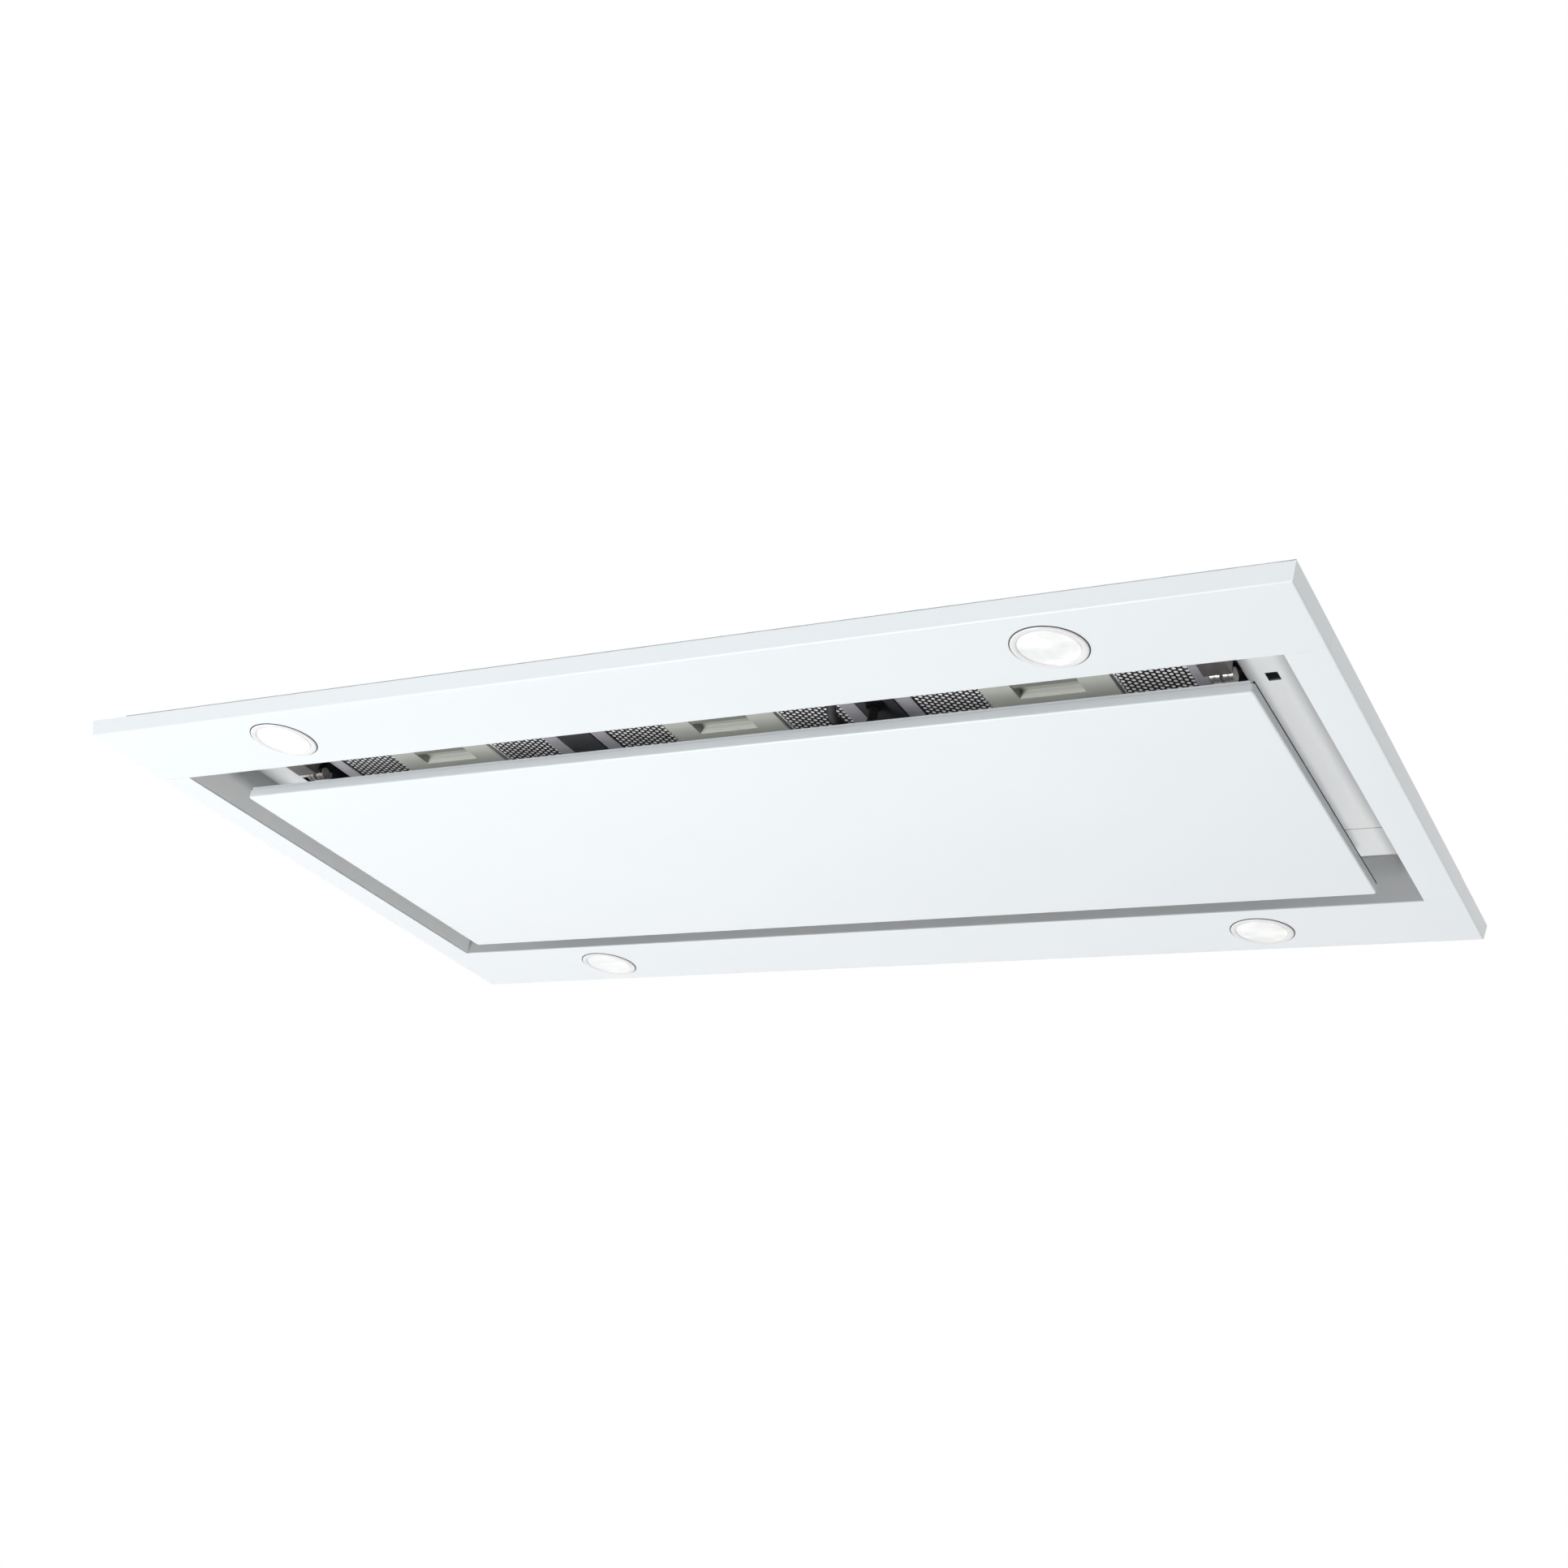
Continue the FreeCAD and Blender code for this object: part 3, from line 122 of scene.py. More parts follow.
# -------------------- materials
def mottled(name, colour, patch, detail, drift, gloss, relief=None, extra=None):
    """A material whose colour and gloss drift in patches of a size in mm. Its relief is a depth in
    mm, a strength and, where the patches don't stand out themselves, the size of another grain."""
    material, tree, place = start_material(name, colour)
    noise = {"Vector": place, "Scale": 1 / (patch * MM), "Detail": detail}
    patches = add(tree, "ShaderNodeTexNoise", noise).outputs["Fac"]
    shades = {"Factor": patches, COLOUR_A: srgb(drift[0]), COLOUR_B: srgb(drift[1])}
    mixed = add(tree, "ShaderNodeMix", shades, data_type="RGBA")
    finish = {"Base Color": mixed.outputs[COLOUR_OUT], "Roughness": gloss[0], **(extra or {})}
    if len(gloss) > 1:
        spread = {"Value": patches, "To Min": gloss[0], "To Max": gloss[1]}
        finish["Roughness"] = add(tree, "ShaderNodeMapRange", spread).outputs["Result"]
    if relief:
        depth, strength, *grain = relief
        for size in grain:
            noise = {"Vector": place, "Scale": 1 / (size * MM), "Detail": 1.0}
            patches = add(tree, "ShaderNodeTexNoise", noise).outputs["Fac"]
        raised = {"Height": patches, "Distance": depth * MM, "Strength": strength}
        finish["Normal"] = add(tree, "ShaderNodeBump", raised).outputs["Normal"]
    return end_material(material, finish)


def white_powder_coat():
    """Powder-coated steel: satin gloss, orange peel about 1.5 mm across, hardly any colour shift."""
    drift = ("#eef3f7", "#f3f7fa")
    peel = (0.03, 0.35, 1.5)
    clear = {"Coat Weight": 0.15, "Coat Roughness": 0.12}
    return mottled("white_powder_coat", "#f1f5f8", 165, 2.0, drift, (0.26, 0.36), peel, clear)


def satin_recess_steel():
    """Grey powder coat inside the recess: satin, fine orange peel, soft cloudy greasy patches."""
    drift = ("#babcbd", "#c3c4c4")
    peel = (0.03, 0.4, 1.5)
    return mottled("satin_recess_steel", "#bec0c1", 70, 3.0, drift, (0.26, 0.42), peel)


def spangled_zinc_sheet():
    """Hot-dip galvanised sheet: frosty spangle about 9 mm across, each flake with its own gloss."""
    material, tree, place = start_material("spangled_zinc_sheet", "#b9bec1")
    wander = add(tree, "ShaderNodeTexNoise", {"Vector": place, "Scale": 1 / (6 * MM), "Detail": 2.0})
    strayed = {"Factor": 0.004, VECTOR_A: place, VECTOR_B: wander.outputs["Color"]}
    bent = add(tree, "ShaderNodeMix", strayed, data_type="VECTOR")
    spangle = {"Vector": bent.outputs[VECTOR_OUT], "Scale": 1 / (9 * MM)}
    flakes = add(tree, "ShaderNodeTexVoronoi", spangle)
    shade = add(tree, "ShaderNodeSeparateColor", {"Color": flakes.outputs["Color"]})
    shades = {"Factor": shade.outputs["Red"], COLOUR_A: srgb("#afb5b8"), COLOUR_B: srgb("#cacecf")}
    zinc = add(tree, "ShaderNodeMix", shades, data_type="RGBA")
    frost = {"Value": shade.outputs["Green"], "To Min": 0.54, "To Max": 0.7}
    gloss = add(tree, "ShaderNodeMapRange", frost)
    raised = {"Height": flakes.outputs["Distance"], "Distance": 0.04 * MM, "Strength": 0.25}
    bumps = add(tree, "ShaderNodeBump", raised)
    finish = {"Base Color": zinc.outputs[COLOUR_OUT], "Roughness": gloss.outputs["Result"]}
    finish.update({"Normal": bumps.outputs["Normal"], "Metallic": 0.6})
    return end_material(material, finish)


def dark_painted_sheet():
    """Sheet painted dark grey: flat finish with a faint 1.2 mm speckle."""
    drift = ("#323334", "#404142")
    return mottled("dark_painted_sheet", "#38393a", 1.2, 2.0, drift, (0.45, 0.62), (0.03, 0.4))


def nickel_plated_steel():
    """Dull nickel on the catch brackets: dark warm metal, smudged by grease in patches of 6 mm."""
    drift = ("#484543", "#716d6a")
    dull = {"Metallic": 0.4}
    return mottled("nickel_plated_steel", "#5c5957", 6, 4.0, drift, (0.26, 0.44), extra=dull)


def anodised_filter_frame():
    """Anodised aluminium folded round each filter: cool lilac grey, drawn lines 1.4 mm apart."""
    material, tree, place = start_material("anodised_filter_frame", "#b9b7be")
    lines = (1 / (33 * MM), 1 / (1.4 * MM), 1 / (1.4 * MM))
    stretched = add(tree, "ShaderNodeMapping", {"Vector": place, "Scale": lines}).outputs["Vector"]
    drawn = add(tree, "ShaderNodeTexNoise", {"Vector": stretched, "Scale": 1.0, "Detail": 2.0})
    drawn = drawn.outputs["Fac"]
    shades = {"Factor": drawn, COLOUR_A: srgb("#aba9b0"), COLOUR_B: srgb("#c6c4ca")}
    strip = add(tree, "ShaderNodeMix", shades, data_type="RGBA")
    gloss = add(tree, "ShaderNodeMapRange", {"Value": drawn, "To Min": 0.28, "To Max": 0.42})
    finish = {"Base Color": strip.outputs[COLOUR_OUT], "Roughness": gloss.outputs["Result"]}
    finish["Metallic"] = 0.35
    return end_material(material, finish)


def greased_expanded_metal():
    """Expanded aluminium of the filters: strands painted dark grey and made less metallic, painted
    shade for the dark recess they reflect, the grey drifting in 12 mm patches.
    """
    drift = ("#242223", "#3a3738")
    shade_film = {"Metallic": 0.3}
    return mottled("greased_expanded_metal", "#2f2c2d", 12, 3.0, drift, (0.3, 0.48), extra=shade_film)


def crimped_foil():
    """Bright aluminium foil layers behind the mesh: each crimp about 3 mm, so the holes twinkle."""
    material, tree, place = start_material("crimped_foil", "#f0f0f0")
    crimps = add(tree, "ShaderNodeTexVoronoi", {"Vector": place, "Scale": 1 / (3 * MM)})
    shade = add(tree, "ShaderNodeSeparateColor", {"Color": crimps.outputs["Color"]})
    shades = {"Factor": shade.outputs["Red"], COLOUR_A: srgb("#dededf"), COLOUR_B: srgb("#f8f8f8")}
    foil = add(tree, "ShaderNodeMix", shades, data_type="RGBA")
    raised = {"Height": crimps.outputs["Distance"], "Distance": 0.3 * MM, "Strength": 0.4}
    bumps = add(tree, "ShaderNodeBump", raised)
    finish = {"Base Color": foil.outputs[COLOUR_OUT], "Roughness": 0.4}
    finish["Normal"] = bumps.outputs["Normal"]
    return end_material(material, finish)


def grey_abs_moulding():
    """Moulded grey ABS of the filter latches: fine grain, dull sheen, and painted shade that darkens
    the pocket.
    The real grain is near 0.1 mm and is drawn 0.6 mm across, or it would not show."""
    material, tree, place = start_material("grey_abs_moulding", "#b6b8b1")
    grain = add(tree, "ShaderNodeTexNoise", {"Vector": place, "Scale": 1 / (0.6 * MM), "Detail": 2.0})
    cloud = add(tree, "ShaderNodeTexNoise", {"Vector": place, "Scale": 1 / (40 * MM), "Detail": 1.0})
    grain = grain.outputs["Fac"]
    shades = {"Factor": cloud.outputs["Fac"], COLOUR_A: srgb("#b1b3ac"), COLOUR_B: srgb("#bbbdb6")}
    plastic = add(tree, "ShaderNodeMix", shades, data_type="RGBA")
    height = add(tree, "ShaderNodeSeparateXYZ", {"Vector": place}).outputs["Z"]
    # Painted shade: from 28.5 mm up, the inside of the pocket is mixed towards a darker grey.
    pocket = {"Value": height, "From Min": 28.5 * MM, "From Max": 30.5 * MM}
    inside = add(tree, "ShaderNodeMapRange", pocket)
    shade_film = {"Factor": inside.outputs["Result"], COLOUR_A: plastic.outputs[COLOUR_OUT]}
    shade_film[COLOUR_B] = srgb("#a0a39c")
    pocket_shaded = add(tree, "ShaderNodeMix", shade_film, data_type="RGBA")
    gloss = add(tree, "ShaderNodeMapRange", {"Value": grain, "To Min": 0.4, "To Max": 0.54})
    bumps = add(tree, "ShaderNodeBump", {"Height": grain, "Distance": 0.04 * MM, "Strength": 0.5})
    finish = {"Base Color": pocket_shaded.outputs[COLOUR_OUT], "Roughness": gloss.outputs["Result"]}
    finish["Normal"] = bumps.outputs["Normal"]
    return end_material(material, finish)


def dark_abs_slide():
    """ABS of the latch slides, coloured darker than their housings as painted shade in the pocket, with
    the same drawn grain.
    """
    drift = ("#747670", "#84867f")
    return mottled("dark_abs_slide", "#7c7e78", 0.6, 2.0, drift, (0.5,), (0.04, 0.5))


def ground_steel():
    """Ground and polished steel of pins and shafts: bright, with lathe marks drawn 0.8 mm wide."""
    drift = ("#c4c5c5", "#d8d9d9")
    bare = {"Metallic": 1.0}
    return mottled("ground_steel", "#cfd0d0", 0.8, 1.0, drift, (0.12, 0.26), extra=bare)


def worn_roller_steel():
    """Turned steel of the catch rollers, dulled by grease: bright ridges over a warm grey."""
    drift = ("#7c7875", "#b9b5b0")
    dull = {"Metallic": 0.9}
    return mottled("worn_roller_steel", "#a19d99", 3, 3.0, drift, (0.34, 0.52), extra=dull)


def satin_lamp_rim():
    """Lamp bezels pressed in steel and painted to match the frame: pale, a little warmer, glossy."""
    return mottled("satin_lamp_rim", "#efedee", 4, 2.0, ("#e9e6e8", "#f5f3f4"), (0.18, 0.28))


def frosted_polycarbonate():
    """Frosted lamp lens: milky white with grey-green streaks 17 mm by 30 mm. A faint glow is painted
    light that brightens the lens; nothing lights it from inside."""
    material, tree, place = start_material("frosted_polycarbonate", "#f6f6f3")
    lengths = (1 / (30 * MM), 1 / (17 * MM), 1 / (17 * MM))
    stretched = add(tree, "ShaderNodeMapping", {"Vector": place, "Scale": lengths}).outputs["Vector"]
    curl = {"Vector": stretched, "Scale": 1.0, "Detail": 3.0, "Distortion": 0.4}
    swirl = add(tree, "ShaderNodeTexNoise", curl)
    spread = {"Value": swirl.outputs["Fac"], "From Min": 0.34, "From Max": 0.6}
    streaks = add(tree, "ShaderNodeMapRange", spread).outputs["Result"]
    shades = {"Factor": streaks, COLOUR_A: srgb("#e5e8e6"), COLOUR_B: srgb("#fcfcfb")}
    milk = add(tree, "ShaderNodeMix", shades, data_type="RGBA")
    finish = {"Base Color": milk.outputs[COLOUR_OUT], "Roughness": 0.24}
    finish.update({"Coat Weight": 0.3, "Coat Roughness": 0.1})
    # Painted light: a faint glow on the unlit lens.
    finish.update({"Emission Color": srgb("#fdfefe"), "Emission Strength": 0.1})
    return end_material(material, finish)


def black_polypropylene():
    """Black glass-filled polypropylene of the fan: charcoal with a dry, slightly flecked face."""
    drift = ("#1d1e1f", "#2c2d2e")
    return mottled("black_polypropylene", "#232425", 1.5, 3.0, drift, (0.45, 0.65))


def baked_motor_enamel():
    """Baked black enamel on the motor can: deeper and glossier than the plastic round it."""
    drift = ("#131517", "#1e2023")
    return mottled("baked_motor_enamel", "#17191b", 2, 1.0, drift, (0.32,), (0.03, 0.3))


def black_rubber_jacket():
    """Matt black rubber of the lead and its glands, also of the black strips and rings that paint
    shadow lines at the panel's edges and round the lamps: dusty in patches.
    """
    drift = ("#111213", "#222324")
    return mottled("black_rubber_jacket", "#161718", 1.5, 3.0, drift, (0.55, 0.72))


def zinc_plated_screw():
    """Bright zinc plate with a faint yellow passivation that drifts over the heads."""
    drift = ("#c2c3bd", "#cfc79f")
    bright = {"Metallic": 1.0}
    return mottled("zinc_plated_screw", "#c9c6b4", 5, 2.0, drift, (0.22, 0.36), extra=bright)


LOOKS = {
    "white_lacquer": white_powder_coat(),
    "recess_steel": satin_recess_steel(),
    "galvanised_sheet": spangled_zinc_sheet(),
    "dark_sheet": dark_painted_sheet(),
    "catch_steel": nickel_plated_steel(),
    "filter_aluminium": anodised_filter_frame(),
    "filter_mesh": greased_expanded_metal(),
    "grey_moulding": grey_abs_moulding(),
    "polished_steel": ground_steel(),
    "lamp_rim": satin_lamp_rim(),
    "lamp_lens": frosted_polycarbonate(),
    "black_moulding": black_polypropylene(),
    "motor_enamel": baked_motor_enamel(),
    "black_rubber": black_rubber_jacket(),
    "zinc_screw": zinc_plated_screw(),
}
FOIL = crimped_foil()
ROLLER_STEEL = worn_roller_steel()
# The darker grey of the slides is painted shade for the latch pockets they sit in.
SHADED_SLIDE_PLASTIC = dark_abs_slide()


def finish_cad_nodes():
    """Gives every CAD node that stays in view the material of its own finish."""
    for entry in frame["record"]["subparts"]:
        thing = frame["nodes"][entry["node"]]
        thing.data.materials.clear()
        thing.data.materials.append(LOOKS[entry["material_slot"]])


# -------------------- mesh helpers
def put(name, data):
    """Puts an object with a mesh, a camera or a light in the scene."""
    thing = bpy.data.objects.new(name, data)
    bpy.context.collection.objects.link(thing)
    return thing


def show(name, mesh, slot, body, *replaced, material=None):
    """Puts a finished mesh in the scene as a piece that rides on a body."""
    thing = put(name, mesh)
    mesh.name = name
    mesh.materials.clear()
    mesh.materials.append(material or LOOKS[slot])
    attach(thing, body)
    if replaced:
        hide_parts(*replaced)
    return thing


def cad_shape(node):
    """The merged shape of a CAD node, to work on."""
    bm = bmesh.new()
    bm.from_mesh(frame["nodes"][node].data)
    bmesh.ops.remove_doubles(bm, verts=bm.verts, dist=1e-6)
    return bm


def as_mesh(bm):
    """Ends the work on a shape, and gives it as a mesh."""
    mesh = bpy.data.meshes.new("shape")
    bm.to_mesh(mesh)
    bm.free()
    return mesh


def close_mesh(bm, smooth=35):
    """Merges doubles, points the faces outwards and sets smooth shading up to an angle."""
    bmesh.ops.remove_doubles(bm, verts=bm.verts, dist=1e-6)
    bmesh.ops.recalc_face_normals(bm, faces=bm.faces)
    for face in bm.faces:
        face.smooth = True
    for edge in bm.edges:
        if len(edge.link_faces) == 2 and edge.calc_face_angle(0) > math.radians(smooth):
            edge.smooth = False
    return as_mesh(bm)


def rounding(thing, width, segments=2):
    """Rounds a piece's sharp edges by a width in millimetres."""
    bevel = thing.modifiers.new("rounding", "BEVEL")
    bevel.width = width * MM
    bevel.segments = segments
    bevel.limit_method = "ANGLE"
    bevel.angle_limit = math.radians(35)
    bevel.harden_normals = True
    bevel.use_clamp_overlap = True


def eased(node, slot, body, width, segments=2, material=None):
    """A merged copy of a CAD node with its sheared edges eased, which stands for the node."""
    bm = cad_shape(node)
    bmesh.ops.dissolve_limit(bm, angle_limit=math.radians(0.5), verts=bm.verts, edges=bm.edges)
    for face in bm.faces:
        face.smooth = True
    mesh = as_mesh(bm)
    if "custom_normal" in mesh.attributes:
        mesh.attributes.remove(mesh.attributes["custom_normal"])
    thing = show(f"{node}_eased", mesh, slot, body, node, material=material)
    rounding(thing, width, segments)
    return thing


def join_rows(bm, rows):
    """Adds the faces between each closed row of corners and the next."""
    for first, second in zip(rows, rows[1:]):
        for index in range(len(first)):
            after = (index + 1) % len(first)
            bm.faces.new([first[index], first[after], second[after], second[index]])


def add_block(bm, low, high):
    """Adds a block between two corners in millimetres."""
    corners = []
    for index in range(8):
        corner = [(high if index >> axis & 1 else low)[axis] * MM for axis in range(3)]
        corners.append(bm.verts.new(corner))
    for ring in ((0, 2, 3, 1), (4, 5, 7, 6), (0, 1, 5, 4), (2, 6, 7, 3), (0, 4, 6, 2), (1, 3, 7, 5)):
        bm.faces.new([corners[index] for index in ring])
    return corners


def add_turned(bm, outline, centre, axis="z", steps=48, ring=False):
    """Adds a body of revolution. The outline gives radius and place along the axis, in mm."""
    turns = [math.tau * step / steps for step in range(steps)]
    order = {"x": (2, 0, 1), "y": (1, 2, 0), "z": (0, 1, 2)}[axis]
    rows = []
    for radius, reach in outline:
        row = []
        for turn in turns if radius > 0 else turns[:1]:
            local = (radius * math.cos(turn), radius * math.sin(turn), reach)
            place = [(middle + local[index]) * MM for middle, index in zip(centre, order)]
            row.append(bm.verts.new(place))
        rows.append(row)
    pairs = list(zip(rows, rows[1:]))
    if ring:
        pairs.append((rows[-1], rows[0]))
    for first, second in pairs:
        for step in range(steps):
            after = (step + 1) % steps
            corners = [first[step % len(first)], first[after % len(first)]]
            corners += [second[after % len(second)], second[step % len(second)]]
            corners = list(dict.fromkeys(corners))
            if len(corners) > 2:
                bm.faces.new(corners)


def add_fold(bm, section, axis, span):
    """Adds a sheet fold: a closed section in mm, drawn across an axis between two limits."""
    rows = []
    for reach in span:
        row = []
        for across, height in section:
            place = (reach, across, height) if axis == "x" else (across, reach, height)
            row.append(bm.verts.new([value * MM for value in place]))
        rows.append(row)
    for row in rows:
        bm.faces.new(row)
    join_rows(bm, rows)


def arc(centre, radius, start, end, steps=6):
    """Points along an arc in a section, with angles in degrees."""
    points = []
    for step in range(steps + 1):
        turn = math.radians(start + (end - start) * step / steps)
        points.append((centre[0] + radius * math.cos(turn), centre[1] + radius * math.sin(turn)))
    return points


# -------------------- pieces that follow a rule
def start_growth(name, inputs):
    """A Geometry Nodes tree with its named inputs, and the socket that each one gives."""
    tree = bpy.data.node_groups.new(name, "GeometryNodeTree")
    tree.interface.new_socket("Geometry", in_out="OUTPUT", socket_type="NodeSocketGeometry")
    for label, kind in {"Geometry": "Geometry", **inputs}.items():
        tree.interface.new_socket(label, in_out="INPUT", socket_type=f"NodeSocket{kind}")
    return tree, add(tree, "NodeGroupInput").outputs


def end_growth(tree, laid, look):
    """Ends a tree: copies stand on the points, become real and take their material."""
    copies = add(tree, "GeometryNodeInstanceOnPoints", laid)
    real = add(tree, "GeometryNodeRealizeInstances", {"Geometry": copies.outputs[0]})
    finished = add(tree, "GeometryNodeSetMaterial", {"Geometry": real.outputs[0], "Material": look})
    add(tree, "NodeGroupOutput", {"Geometry": finished.outputs[0]})


def grow(tree, start_mesh, values):
    """Runs a tree on a mesh with its named values, and gives the result as a plain mesh."""
    carrier = put("carrier", start_mesh)
    growth = carrier.modifiers.new("growth", "NODES")
    growth.node_group = tree
    named = [item for item in tree.interface.items_tree if item.in_out == "INPUT"]
    sockets = {item.name: item.identifier for item in named}
    for label, value in values.items():
        growth[sockets[label]] = value
    bpy.context.view_layer.update()
    seen = carrier.evaluated_get(bpy.context.evaluated_depsgraph_get())
    mesh = bpy.data.meshes.new_from_object(seen)
    bpy.data.objects.remove(carrier)
    return mesh


def expanded_metal():
    """Staggered six-sided cells in a field with a notch, facing down, each strand with depth."""
    labels = ("Field Width", "Field Depth", "Column Step", "Row Step", "Level", "Hole Share")
    inputs = {label: "Float" for label in (*labels, "Strand Depth", "Notch Half Width", "Notch End")}
    inputs.update({"Columns": "Int", "Rows": "Int", "Look": "Material"})
    tree, given = start_growth("expanded_metal", inputs)
    field = {"Size X": given["Field Width"], "Size Y": given["Field Depth"]}
    field.update({"Vertices X": given["Columns"], "Vertices Y": given["Rows"]})
    points = add(tree, "GeometryNodeMeshGrid", field)
    place = add(tree, "GeometryNodeInputPosition").outputs["Position"]
    apart = add(tree, "ShaderNodeSeparateXYZ", {"Vector": place})

    # Columns swing in turn a quarter of a row forward and back.
    middle = add(tree, "ShaderNodeMath", {0: given["Field Width"], 1: 0.5}, operation="MULTIPLY")
    reach = {0: apart.outputs["X"], 1: middle.outputs[0]}
    from_left = add(tree, "ShaderNodeMath", reach, operation="ADD")
    turns = {0: from_left.outputs[0], 1: given["Column Step"]}
    swing = add(tree, "ShaderNodeMath", turns, operation="PINGPONG")
    forward = add(tree, "ShaderNodeMath", {0: given["Row Step"], 1: 0.25}, operation="MULTIPLY")
    back = add(tree, "ShaderNodeMath", {0: given["Row Step"], 1: -0.25}, operation="MULTIPLY")
    swung = {"Value": swing.outputs[0], "From Max": given["Column Step"]}
    swung.update({"To Min": back.outputs[0], "To Max": forward.outputs[0]})
    shift = add(tree, "ShaderNodeMapRange", swung)
    offset = add(tree, "ShaderNodeCombineXYZ", {"Y": shift.outputs["Result"], "Z": given["Level"]})
    moved = {"Geometry": points.outputs["Mesh"], "Offset": offset.outputs["Vector"]}
    staggered = add(tree, "GeometryNodeSetPosition", moved)

    # The latch stands in a notch at the near edge.
    aside = add(tree, "ShaderNodeMath", {0: apart.outputs["X"]}, operation="ABSOLUTE")
    narrow = {0: aside.outputs[0], 1: given["Notch Half Width"]}
    beside = add(tree, "ShaderNodeMath", narrow, operation="LESS_THAN")
    shallow = {0: apart.outputs["Y"], 1: given["Notch End"]}
    within = add(tree, "ShaderNodeMath", shallow, operation="LESS_THAN")
    both = {0: beside.outputs[0], 1: within.outputs[0]}
    notched = add(tree, "ShaderNodeMath", both, operation="MULTIPLY")
    gone = {"Geometry": staggered.outputs["Geometry"], "Selection": notched.outputs[0]}
    kept = add(tree, "GeometryNodeDeleteGeometry", gone)

    # One cell: a rim that slopes in, the hole scaled from it, and the strand's wall behind. Cells
    # of radius 1 meet when columns stand 1.5 apart and rows stand the root of 3 apart.
    sloping_share = 0.35
    ring = add(tree, "GeometryNodeMeshCircle", {"Vertices": 6, "Radius": 1.0}, fill_type="NGON")
    cell_x = add(tree, "ShaderNodeMath", {0: given["Column Step"], 1: 1.5}, operation="DIVIDE")
    cell_y = add(tree, "ShaderNodeMath", {0: given["Row Step"], 1: math.sqrt(3)}, operation="DIVIDE")
    spread = {"X": cell_x.outputs[0], "Y": cell_y.outputs[0], "Z": 1.0}
    size = add(tree, "ShaderNodeCombineXYZ", spread)
    stretched = {"Geometry": ring.outputs["Mesh"], "Scale": size.outputs["Vector"]}
    sized = add(tree, "GeometryNodeTransform", stretched)
    share = {0: given["Strand Depth"], 1: -sloping_share}
    sink = add(tree, "ShaderNodeMath", share, operation="MULTIPLY")
    sloped = {"Mesh": sized.outputs["Geometry"], "Offset Scale": sink.outputs[0]}
    lip = add(tree, "GeometryNodeExtrudeMesh", sloped)
    opening = {"Geometry": lip.outputs["Mesh"], "Selection": lip.outputs["Top"]}
    opening["Scale"] = given["Hole Share"]
    hole = add(tree, "GeometryNodeScaleElements", opening)
    share = {0: given["Strand Depth"], 1: sloping_share - 1}
    deep = add(tree, "ShaderNodeMath", share, operation="MULTIPLY")
    wall = {"Mesh": hole.outputs["Geometry"], "Selection": lip.outputs["Top"]}
    wall["Offset Scale"] = deep.outputs[0]
    walled = add(tree, "GeometryNodeExtrudeMesh", wall)
    way = {"Geometry": walled.outputs["Mesh"], "Selection": walled.outputs["Top"]}
    cell = add(tree, "GeometryNodeDeleteGeometry", way, domain="FACE")
    turned = {"Geometry": cell.outputs["Geometry"], "Rotation": (math.pi, 0.0, 0.0)}
    facing_down = add(tree, "GeometryNodeTransform", turned)
    laid = {"Points": kept.outputs["Geometry"], "Instance": facing_down.outputs["Geometry"]}
    end_growth(tree, laid, given["Look"])
    return tree


def copies_at_points():
    """One master piece at each point of a mesh, such as the screws of a joint."""
    inputs = {"Master": "Object", "Size": "Float", "Look": "Material"}
    tree, given = start_growth("copies_at_points", inputs)
    master = add(tree, "GeometryNodeObjectInfo", {"Object": given["Master"]})
    laid = {"Points": given["Geometry"], "Instance": master.outputs["Geometry"], "Scale": given["Size"]}
    end_growth(tree, laid, given["Look"])
    return tree


# -------------------- frame and recess
def frame_strips():
    """Four folded strips with eased edges, so that the butt seams show as fine lines."""
    for node in ("front_strip", "rear_strip", "left_strip", "right_strip"):
        eased(node, "white_lacquer", "housing", 0.3)


def bent_wall(edge, bend):
    """Section of a recess wall that stands on the opening's edge and bends in at the top."""
    turn = (edge - bend, TRAY_LOW - bend)
    inside = arc(turn, bend, 0, 90)
    outside = arc(turn, bend + WALL_GAUGE, 90, 0)
    return [(edge, STRIP_BACK), *inside, *outside, (edge + WALL_GAUGE, STRIP_BACK)]


